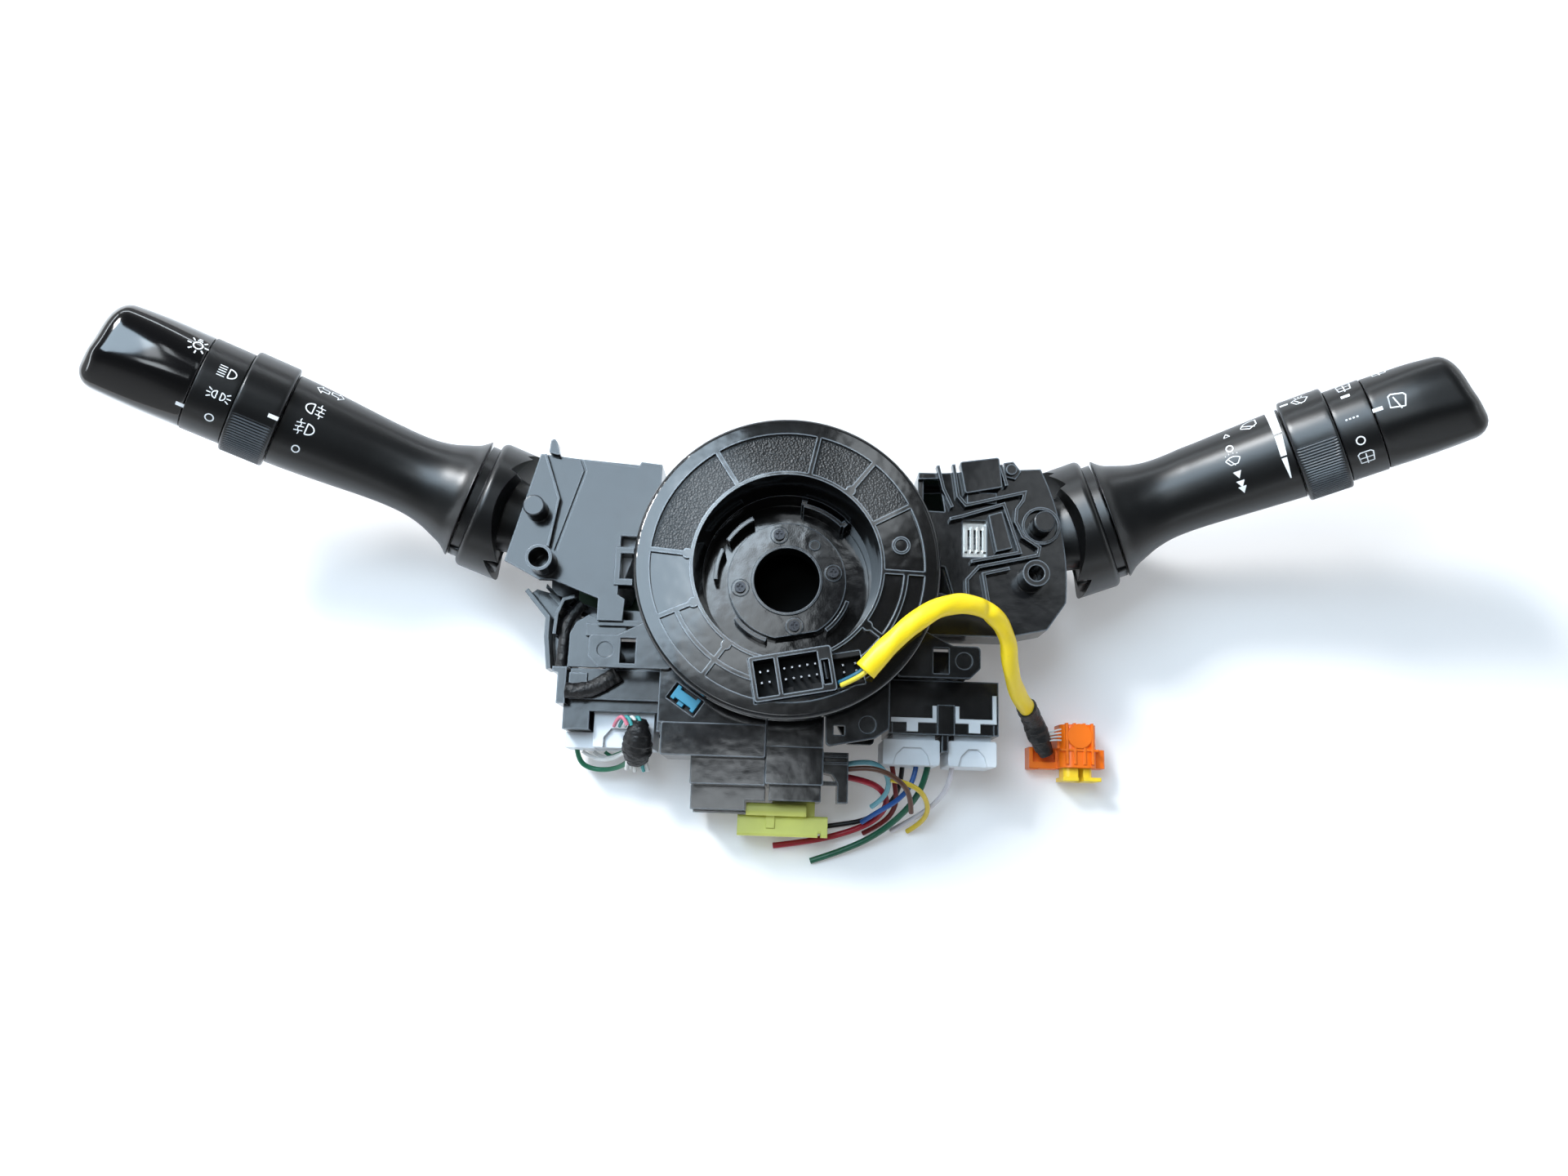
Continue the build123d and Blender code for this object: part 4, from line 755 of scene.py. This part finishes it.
def on_stalk(along):
    bent = min(max(along - bend_start, 0.0), bend_long)
    steps = 1 + round(bent / 5)
    share = bent / bend_long / steps
    half = Matrix.Translation((bent / steps / 2, 0, 0))
    turn = turned(-bend_rise * share, "Y") @ turned(-bend_turn * share, "Z")
    place = rising_line() @ Matrix.Translation((min(along, bend_start), 0, 0))
    for _ in range(steps):
        place = place @ half @ turn @ half
    return place @ Matrix.Translation((max(along - bend_start - bend_long, 0.0), 0, 0))


print("a stalk's ring starts at", [round(v, 1) for v in on_stalk(119.1).translation])


# %% Sections round the line
def smooth_steps(stations, at):
    stations = sorted(stations)
    if at <= stations[0][0]:
        return stations[0][1]
    for k in range(len(stations) - 1):
        (x0, y0), (x1, y1) = stations[k], stations[k + 1]
        if at <= x1:
            before = stations[max(k - 1, 0)]
            after = stations[min(k + 2, len(stations) - 1)]
            slope0 = (y1 - before[1]) / (x1 - before[0])
            slope1 = (after[1] - y0) / (after[0] - x0)
            t, span = (at - x0) / (x1 - x0), x1 - x0
            a, b = (1 + 2 * t) * (1 - t) ** 2, t * (1 - t) ** 2
            c, e = t * t * (3 - 2 * t), t * t * (t - 1)
            return a * y0 + b * span * slope0 + c * y1 + e * span * slope1
    return stations[-1][1]


def oval(wide, tall, turn):
    return 1 / math.hypot(math.cos(turn) / wide, math.sin(turn) / tall)


def fuller(stalk, along, turn):
    rise = min(max((along - 56.0) / 26.0, 0.0), 1.0) * stalk["upper"]
    return rise * max(0.0, math.cos(turn - math.radians(18))) ** 2


def arm_radius(stalk, along, turn):
    waist, half, end = stalk["waist"], stalk["arm"], stalk["arm_end"]
    swell = (half - waist) / 3
    stations = [(arm_start, waist + 8.3), (56, waist + 5.6), (60, waist + 3.7), (65, waist + 1.7),
                (71, waist + 0.4), (78, waist), (86, waist + 0.3 * swell), (94, waist + 1.1 * swell),
                (102, waist + 1.9 * swell), (110, waist + 2.6 * swell), (end, half)]
    wide = smooth_steps(stations, along)
    return oval(wide, 0.89 * wide, turn) + fuller(stalk, along, turn)


def ring_radius(stalk, along, turn):
    start = stalk["arm_end"] + gap
    radius = oval(stalk["ring"], 0.97 * stalk["ring"], turn) + fuller(stalk, along, turn)
    low, high = (math.radians(a) for a in stalk["ribbed"])
    inside = low < turn < high and 1.0 < along - start < stalk["ring_long"] - 1.0
    if not inside:
        return radius
    rib = math.sin(math.degrees(turn) / 3.4 * 2 * math.pi)
    return radius - 0.26 + 0.42 * max(-0.6, min(0.6, 1.6 * rib))


def sleeve_radius_at(stalk, along, turn):
    return oval(stalk["sleeve"], 0.93 * stalk["sleeve"], turn) + fuller(stalk, along, turn)


def knob_start(stalk):
    return stalk["arm_end"] + stalk["ring_long"] + stalk["sleeve_long"] + 3 * gap


def knob_radius(stalk, along, turn):
    half, t = stalk["knob"], (along - knob_start(stalk)) / stalk["knob_long"]
    wide = half * smooth_steps([(0, 1.0), (0.4, 1.0), (0.8, 0.965), (1, 0.92)], t)
    tall = half * smooth_steps([(0, 0.93), (0.4, 0.88), (0.8, 0.76), (1, 0.66)], t)
    power = 2.1 + 1.0 * min(1.0, max(t, 0.0))
    box = (abs(math.cos(turn) / wide) ** power + abs(math.sin(turn) / tall) ** power) ** (-1 / power)
    box += fuller(stalk, along, turn) * (1 - 0.7 * t)
    facing = math.cos(turn - math.radians(130))
    flat = 0.95 * half - 0.079 * (along - knob_start(stalk))
    if facing <= 0.05:
        return box
    return (box ** -16 + (facing / flat) ** 16) ** (-1 / 16)


skins = {"arm": arm_radius, "ring": ring_radius, "sleeve": sleeve_radius_at, "knob": knob_radius}


def slide(stalk, along, up):
    reach = (along - knob_start(stalk) - 14.0) / 18.0
    return -stalk["slant"] * (up + stalk["knob"]) * min(1.0, max(0.0, reach))


def mirrored(stalk, point):
    return Vector((stalk["side"] * point.x, point.y, point.z))


def stalk_point(stalk, part, along, turn, proud=0.0, inset=0.0):
    radius = skins[part](stalk, along, turn % (2 * math.pi)) + proud - inset
    up, out = radius * math.cos(turn), radius * math.sin(turn)
    if part == "knob":
        along = along + slide(stalk, along, up)
    return mirrored(stalk, on_stalk(along) @ Vector((0, up, out))) * MM


print("arm radius at its waist:", round(arm_radius(stalks["left"], 78, 0), 1))


# %% Skin a stalk's parts
def edge_rows(start, end, round_start, round_end, step=1.2):
    rows = []
    for k in range(5):
        angle = math.pi / 2 * k / 4
        rows.append((start + round_start * (1 - math.sin(angle)), round_start * (1 - math.cos(angle))))
    rows = [(a, b) for a, b in reversed(rows)]
    span = end - round_end - start - round_start
    count = max(2, round(span / step))
    rows += [(start + round_start + span * k / count, 0.0) for k in range(1, count)]
    for k in range(7):
        angle = math.pi / 2 * k / 6
        rows.append((end - round_end * (1 - math.sin(angle)), round_end * (1 - math.cos(angle))))
    return rows


def skin(name, stalk, part, rows, sides):
    shape = bmesh.new()
    rings = []
    for along, inset in rows:
        turns = [2 * math.pi * j / sides for j in range(sides)]
        rings.append([shape.verts.new(stalk_point(stalk, part, along, turn, inset=inset)) for turn in turns])
    bridge(shape, rings)
    for ring, at_end in ((rings[0], False), (rings[-1], True)):
        middle = shape.verts.new(sum((v.co for v in ring), Vector()) / sides)
        inner = [shape.verts.new(middle.co.lerp(v.co, 0.82)) for v in ring]
        for j in range(sides):
            k = (j + 1) % sides
            shape.faces.new((ring[j], ring[k], inner[k], inner[j])).smooth = at_end
            shape.faces.new((inner[j], inner[k], middle)).smooth = at_end
    bmesh.ops.recalc_face_normals(shape, faces=shape.faces)
    return link_piece(name, shape)


def dress_stalk(word):
    stalk = stalks[word]
    ring_at = stalk["arm_end"] + gap
    sleeve_at = ring_at + stalk["ring_long"] + gap
    knob_at = knob_start(stalk)
    plan = [
        ("arm", edge_rows(arm_start, stalk["arm_end"], 0.5, 0.4), 120, "lever", "lever_arm", "stalk"),
        ("ring", edge_rows(ring_at, ring_at + stalk["ring_long"], 0.8, 0.8), 848, "ring", "ring", "grip"),
        ("sleeve", edge_rows(sleeve_at, sleeve_at + stalk["sleeve_long"], 0.3, 0.3), 120, "lever",
         "lever_sleeve", "stalk"),
        ("knob", edge_rows(knob_at, knob_at + stalk["knob_long"], 0.4, 5.4), 144, "knob", "knob",
         "knob" if word == "left" else "stalk"),
    ]
    for part, rows, sides, body, node, paint_name in plan:
        piece = skin(f"{word}_{part}_skin", stalk, part, rows, sides)
        piece.data.materials.append(paints[paint_name])
        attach(piece, f"{word}_{body}")
        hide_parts(f"{word}_{node}")


skirt_outer, skirt_inner = 20.6, 19.4
skirt_start, skirt_end = 160, 250


def skirt(word):
    stalk, shape = stalks[word], bmesh.new()
    rows = []
    for along in (35.0, 39.0, 43.5, 48.0, 52.4):
        row = []
        for radius in (skirt_outer, skirt_inner):
            for turn in range(skirt_start, skirt_end + 1, 5):
                back = skirt_start + skirt_end - turn
                angle = math.radians(turn if radius == skirt_outer else back)
                place = on_stalk(along) @ Vector((0, radius * math.cos(angle), radius * math.sin(angle)))
                row.append(shape.verts.new(mirrored(stalk, place) * MM))
        rows.append(row)
    bridge(shape, rows)
    count = len(rows[0])
    for row in (rows[0], rows[-1]):
        for k in range(count // 2 - 1):
            shape.faces.new((row[k], row[k + 1], row[count - 2 - k], row[count - 1 - k]))
    bmesh.ops.recalc_face_normals(shape, faces=shape.faces)
    piece = link_piece(f"{word}_skirt", shape)
    piece.data.materials.append(paints["stalk"])
    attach(piece, f"{word}_lever")


for word in stalks:
    dress_stalk(word)
    skirt(word)
print("stalks skinned")

# %% [markdown]
# Printed signs
#
# The signs are white ink. A decal image would blur when someone looks closely, so each sign is drawn with
# a pen: a list of lines in millimetres, with its middle at zero. Every line becomes a narrow strip, cut
# short enough to follow the curve, and lies a few hundredths of a millimetre above it. They are general
# signs: lamps, fog lamps, wipers, arrows, bars, circles and a speed wedge.

# %% Pen strokes on a curved surface
def arc(x, y, wide, tall, start, end, steps=20):
    turns = [math.radians(start + (end - start) * k / steps) for k in range(steps + 1)]
    return [(x + wide * math.cos(a), y + tall * math.sin(a)) for a in turns]


def closed(points):
    return points + [points[0], points[1]]


def cut_short(points, step=0.3):
    out = [points[0]]
    for (x0, y0), (x1, y1) in zip(points, points[1:]):
        count = max(1, math.ceil(math.hypot(x1 - x0, y1 - y0) / step))
        out += [(x0 + (x1 - x0) * k / count, y0 + (y1 - y0) * k / count) for k in range(1, count + 1)]
    return out


def strip(points, wide):
    points = cut_short(points)
    sides = []
    for k, (x, y) in enumerate(points):
        x0, y0 = points[max(k - 1, 0)]
        x1, y1 = points[min(k + 1, len(points) - 1)]
        long = math.hypot(x1 - x0, y1 - y0) or 1.0
        sides.append((-(y1 - y0) / long * wide / 2, (x1 - x0) / long * wide / 2))
    left = [(x + a, y + b) for (x, y), (a, b) in zip(points, sides)]
    right = [(x - a, y - b) for (x, y), (a, b) in zip(points, sides)]
    return [(left[k], left[k + 1], right[k + 1], right[k]) for k in range(len(points) - 1)]


def ink(shape, quads, lay):
    for quad in quads:
        shape.faces.new([shape.verts.new(lay(u, v)) for u, v in quad])


def filled(points, pen=0.22):
    ys = [y for _, y in points]
    lines = []
    y = min(ys) + pen / 2
    while y < max(ys):
        hits = []
        for (x0, y0), (x1, y1) in zip(points, points[1:] + points[:1]):
            if (y0 <= y) != (y1 <= y):
                hits.append(x0 + (x1 - x0) * (y - y0) / (y1 - y0))
        hits.sort()
        lines += [([(a, y), (b, y)], pen * 1.05) for a, b in zip(hits[::2], hits[1::2])]
        y += pen
    return lines


proud_ink = 0.03


def sign_on(shape, stalk, part, along, turn, strokes, size=1.0, lean=0.0):
    centre = math.radians(turn)
    radius = skins[part](stalk, along, centre)
    c, s = math.cos(math.radians(lean)), math.sin(math.radians(lean))

    def lay(u, v):
        u, v = (u * c - v * s) * size, (u * s + v * c) * size
        return stalk_point(stalk, part, along + stalk["side"] * u, centre - v / radius, proud_ink)

    for points, pen in strokes:
        ink(shape, strip(points, pen), lay)


print("pen ready")


# %% The signs
def taller(strokes, factor):
    return [([(x, y * factor) for x, y in line], pen) for line, pen in strokes]


def circle(radius):
    return [(arc(0, 0, radius, radius, 0, 372, 30), 0.42)]


def lamp(side, x=0.0):
    back = x - 0.9 * side
    outline = [(back, -1.6), (back, 1.6)] + arc(back, 0, 2.3 * side, 1.6, 90, -90) + [(back, -1.6)]
    return [(outline, 0.38)]


def beams(x, count=5):
    ys = [1.75 - 3.5 * k / (count - 1) for k in range(count)]
    return [([(x, y), (x - 2.4, y)], 0.3) for y in ys]


def wave(x):
    return [([(x + 0.28 * math.sin(2.6 * y), y) for y in [-2.3 + 0.2 * k for k in range(24)]], 0.28)]


def blade_fan():
    fan = arc(0, -3.2, 4.2, 4.4, 128, 52) + [(1.25, -1.5), (-1.25, -1.5)]
    return [(closed(fan), 0.34), ([(0.3, -1.9), (-1.6, 0.8)], 0.34)]


def box_window():
    frame_line = [(-1.7, -1.7), (-2.0, 1.1), (-1.4, 1.6), (1.4, 1.6), (2.0, 1.1), (1.7, -1.7)]
    return [(closed(frame_line), 0.34)]


bulb = [(arc(0, 0, 1.25, 1.25, 0, 372, 26), 0.42)] + [
    ([(1.9 * math.cos(a), 1.9 * math.sin(a)), (3.0 * math.cos(a), 3.0 * math.sin(a))], 0.42)
    for a in [math.radians(45 * k) for k in range(8) if k != 2]] + [
    ([(-0.75, 1.9), (0.75, 1.9)], 0.36), ([(-0.5, 2.6), (0.5, 2.6)], 0.36)]
head_lamp = lamp(1, 1.3) + beams(-0.5)
side_lamps = [
    ([(s * x, y) for x, y in line], 0.36) for s in (-1, 1) for line in (
        [(0.7, -1.2), (0.7, 1.2)] + arc(0.7, 0, 1.3, 1.2, 90, -90, 14) + [(0.7, -1.2)],
        [(2.5, 0.0), (3.8, 0.0)], [(2.3, 0.9), (3.4, 1.5)], [(2.3, -0.9), (3.4, -1.5)])]
rear_fog = lamp(-1, -1.2) + [([(0.5, y), (3.0, y)], 0.28) for y in (1.2, 0.0, -1.2)] + wave(1.75)
front_fog = lamp(1, 1.2) + [([(-0.5, y), (-3.0, y - 0.5)], 0.28) for y in (1.4, 0.2, -1.0)] + wave(-1.75)
arrow = [(closed([(-2.2, 0.0), (-0.5, 1.5), (-0.5, 0.65), (1.9, 0.65), (1.9, -0.65), (-0.5, -0.65),
                  (-0.5, -1.5)]), 0.36)]
bar = [([(-1.6, 0.0), (1.6, 0.0)], 1.3)]
drop_low = filled([(-1.45, 1.2), (1.45, 1.2), (0.0, -1.3)])
mist = [(closed([(-1.0, -0.8), (1.0, -0.8), (0.0, 1.0)]), 0.34)]
pause_dots = [(-2.2, 2.0), (-0.9, 2.4), (0.6, 2.4), (1.9, 2.0)]
wiper_pause = blade_fan() + [([(x, y), (x + 0.3, y)], 0.3) for x, y in pause_dots]
screen_wash = blade_fan() + [([(x, 1.5), (1.5 * x, 2.5)], 0.3) for x in (-0.8, 0.0, 0.8)]
rear_wash = box_window() + [([(0.0, -2.3), (0.0, 1.1)], 0.32), ([(-1.7, -0.2), (1.7, -0.2)], 0.3)]
rear_wipe = box_window() + [([(0.9, -2.2), (-0.9, 0.9)], 0.34)]
print("signs drawn")

# %% Lay the signs on the stalks
bodies = {"arm": "lever", "sleeve": "lever", "ring": "ring", "knob": "knob"}
plans = {
    "left": [
        ("knob", 149.4, 53, bulb, 1.08), ("knob", 147.0, 135, bar), ("sleeve", 138.3, 72, head_lamp),
        ("sleeve", 138.0, 103, side_lamps), ("sleeve", 138.1, 134, circle(1.25)),
        ("ring", 120.9, 101, bar), ("arm", 110.4, 31, taller(arrow, 1.5)),
        ("arm", 105.7, 28, taller(arrow, 1.6), 1.0, 180), ("arm", 110.4, 69, rear_fog, 1.12),
        ("arm", 110.7, 98.6, front_fog, 1.12), ("arm", 111.0, 130, circle(1.2)),
    ],
    "right": [
        ("arm", 97.8, 36, mist), ("arm", 97.3, 59, circle(1.1)), ("arm", 97.1, 77, wiper_pause, 0.95),
        ("arm", 97.0, 100, drop_low), ("arm", 97.0, 115, drop_low), ("arm", 97.0, 124, drop_low),
        ("arm", 105.7, 30, taller(blade_fan(), 1.35), 1.15, 30), ("ring", 118.0, 33, bar, 0.8),
        ("ring", 122.9, 34, taller(screen_wash, 1.25)),
        ("sleeve", 136.4, 27, taller(rear_wash, 1.35), 1.05),
        ("knob", 147.5, 17, taller(rear_wash, 1.4), 1.1), ("sleeve", 135.8, 47, bar, 0.85),
        ("sleeve", 135.3, 111, circle(1.25)), ("sleeve", 135.5, 135, rear_wash, 1.15),
        ("knob", 142.9, 79, bar, 0.95), ("knob", 149.0, 75.5, rear_wipe, 1.25, -12),
    ],
}


def speed_wedge(shape, stalk):
    parts = [(10, 63, (111.6, 114.8), (111.9, 114.6)), (66, 96, (111.9, 114.4), (111.6, 113.6)),
             (99, 130, (111.6, 113.4), (112.2, 112.6))]
    for start, end, first, last in parts:
        steps = 16
        for k in range(steps):
            rows = []
            for t in (k / steps, (k + 1) / steps):
                low, high = (a + (b - a) * t for a, b in zip(first, last))
                turn = math.radians(start + (end - start) * t)
                rows.append([stalk_point(stalk, "arm", along, turn, proud_ink) for along in (low, high)])
            shape.faces.new([shape.verts.new(p) for p in rows[0] + rows[1][::-1]])


def print_signs(word, body):
    stalk, shape = stalks[word], bmesh.new()
    for part, *sign in plans[word]:
        if bodies[part] == body:
            sign_on(shape, stalk, part, *sign)
    if word == "right" and body == "lever":
        speed_wedge(shape, stalk)
        for k in range(4):
            sign_on(shape, stalk, "sleeve", 135.1 - 1.6 + 1.1 * k, 79, [([(-0.3, 0), (0.3, 0)], 0.5)])
    middle = on_stalk(120).translation
    axis = mirrored(stalk, (on_stalk(121).translation - middle).normalized())
    for face in shape.faces:
        face.normal_update()
        away = face.calc_center_median() - mirrored(stalk, middle) * MM
        if face.normal.dot(away - axis * away.dot(axis)) < 0:
            face.normal_flip()
    piece = link_piece(f"{word}_{body}_signs", shape)
    piece.data.materials.append(white_ink)
    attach(piece, f"{word}_{body}")


def ink_finish():
    finish = Finish("white_ink")
    worn = finish.noise(900, 4, 0.7)
    share = finish.ramp(worn, [(0.35, 0.0), (0.7, 1.0)])
    tint = finish.blend(share, rgb(0.84, 0.87, 0.90), rgb(0.93, 0.95, 0.97))
    return finish.plastic(base_color=tint, roughness=0.55 + worn * 0.1)


white_ink = ink_finish()
for word in stalks:
    for body in ("lever", "ring", "knob"):
        print_signs(word, body)
print("signs laid")

# %% [markdown]
# Wound tape and loose ends
#
# A winding shows as a shallow step that climbs round the bundle. The radius here grows along a slanted
# saw-tooth, and slow noise squeezes the bundle where fingers pressed it. Threads and cut ends stick out
# of the tape's far side; each is a short line with a round section.

# %% Wind the tape
def winding(name, points, stations, turns, seed):
    last = len(stations) - 1
    lines = [[(k / last, pair[axis]) for k, pair in enumerate(stations)] for axis in (0, 1)]

    def radius(along, angle):
        wide, tall = (smooth_steps(line, along) for line in lines)
        climb = (along * turns + angle / (2 * math.pi)) % 1.0
        spot = Vector((math.cos(angle), math.sin(angle), along * 6 + seed))
        pressed = 0.10 * noise.noise(spot * 1.3) + 0.05 * noise.noise(spot * 3.7)
        grown = 1 + pressed + 0.07 * climb
        return MM * wide * grown, MM * tall * grown

    piece = wrap_tube(name, dense(line_points(points), 90), radius, 72)
    piece.data.materials.append(tape)
    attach(piece, "root")
    return piece


def dense(points, count):
    total = length_of(points)
    out, walked, k = [], 0.0, 0
    for step in range(count):
        want = total * step / (count - 1)
        while k < len(points) - 2 and walked + (points[k + 1] - points[k]).length < want:
            walked += (points[k + 1] - points[k]).length
            k += 1
        part = (points[k + 1] - points[k]).length or 1.0
        out.append(points[k].lerp(points[k + 1], min(1.0, (want - walked) / part)))
    return out


def loose_end(name, points, thick, colour):
    piece = smooth_line(name, points, thick)
    piece.data.materials.append(insulation(name + "_skin", colour))
    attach(piece, "root")


white_core, teal, pink = (0.80, 0.80, 0.78), (0.05, 0.36, 0.36), (0.70, 0.20, 0.28)
lead_bundle = winding("lead_tape_winding", [(85.4, -39.0, 25.0), (87.9, -40.8, 19.2), (91.4, -46.4, 13.4),
                                            (95.4, -54.4, 11.4)],
                      [(3.5, 3.4), (3.5, 3.4), (3.8, 3.8), (2.4, 2.4)], 5.5, 3.0)
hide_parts("lead_tape")
knot = winding("knot_winding", [(-49.2, -48.4, 32.2), (-49.6, -53.2, 30.8), (-50.0, -58.4, 27.2),
                                (-50.4, -61.8, 23.4)],
               [(2.6, 2.4), (4.3, 3.5), (5.0, 4.1), (3.6, 3.2)], 4.5, 9.0)
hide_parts("left_tape")
winding("upper_loom", [(-71.0, -8.8, 33.2), (-75.3, -13.4, 33.4), (-76.8, -20.0, 33.4),
                       (-77.1, -31.2, 33.0)], [(1.9, 1.9)] * 2, 9.0, 1.0)
winding("lower_loom", [(-56.8, -33.4, 37.0), (-62.6, -37.6, 36.8), (-69.0, -40.0, 36.8),
                       (-74.3, -39.6, 36.8)], [(2.6, 2.6)] * 2, 7.0, 5.0)
for k in range(6):
    x, y, z = -53.2 + 1.15 * k, -59.6, 26.4 - 0.5 * (k % 2)
    reach = rng.uniform(4.6, 6.6)
    loose_end(f"cut_end_{k}", [(x, y, z), (x + 0.1 * (k - 2), y - reach * 0.6, z - reach * 0.3),
                               (x + 0.35 * (k - 2), y - reach, z - reach * 0.8)], 1.3,
              teal if k == 4 else white_core)
for k, colour in enumerate((pink, teal, white_core, teal)):
    x = -54.6 + 1.9 * k
    loose_end(f"feed_{k}", [(x - 3.6, -50.6, 28.6), (x - 2.4, -48.6, 32.0), (x, -47.2, 33.6),
                            (x + 1.6 - 0.4 * k, -50.6, 33.4)], 1.3, colour)
for k, colour in enumerate((white_core, white_core, (0.02, 0.20, 0.10))):
    loose_end(f"side_wire_{k}", [(-71.0 + 4.0 * k, -58.6, 14.0), (-67.0 + 3.0 * k, -61.4 + 0.6 * k, 13.4),
                                 (-58.6, -61.6 + 0.9 * k, 18.0), (-52.0, -57.6, 25.0 - k)], 1.3, colour)
for k in range(4):
    loose_end(f"thread_{k}", [(95.4, -46.6 - k, 15.0), (97.4, -45.9 - 1.1 * k, 16.4),
                              (99.6, -45.4 - 1.3 * k, 15.6)], 0.55, white_core)
print("tape wound")

# %% [markdown]
# Grip ribs
#
# The orange plug carries a few ribs to grip it by. Each is a plain bar, so one function makes them all,
# and the finish rounds their edges.

# %% Ribs on the orange plug
def bars(name, boxes, material):
    shape = bmesh.new()
    for x0, x1, y0, y1, z0, z1 in boxes:
        made = bmesh.ops.create_cube(shape, size=1.0)["verts"]
        for v in made:
            v.co = Vector((MM * (x0 + (v.co.x + 0.5) * (x1 - x0)), MM * (y0 + (v.co.y + 0.5) * (y1 - y0)),
                           MM * (z0 + (v.co.z + 0.5) * (z1 - z0))))
    piece = link_piece(name, shape)
    piece.data.materials.append(material)
    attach(piece, "root")


bars("squib_ribs", [(x, x + 0.9, -57.6, -43.0, 13.6, 15.6) for x in (101.4, 104.2, 107.6, 110.4)]
     + [(90.0, 93.0, -59.2, -58.4, 1.2, 7.6), (99.6, 113.2, -53.0, -52.2, 12.0, 15.5)], paints["orange"])
print("ribs ready")
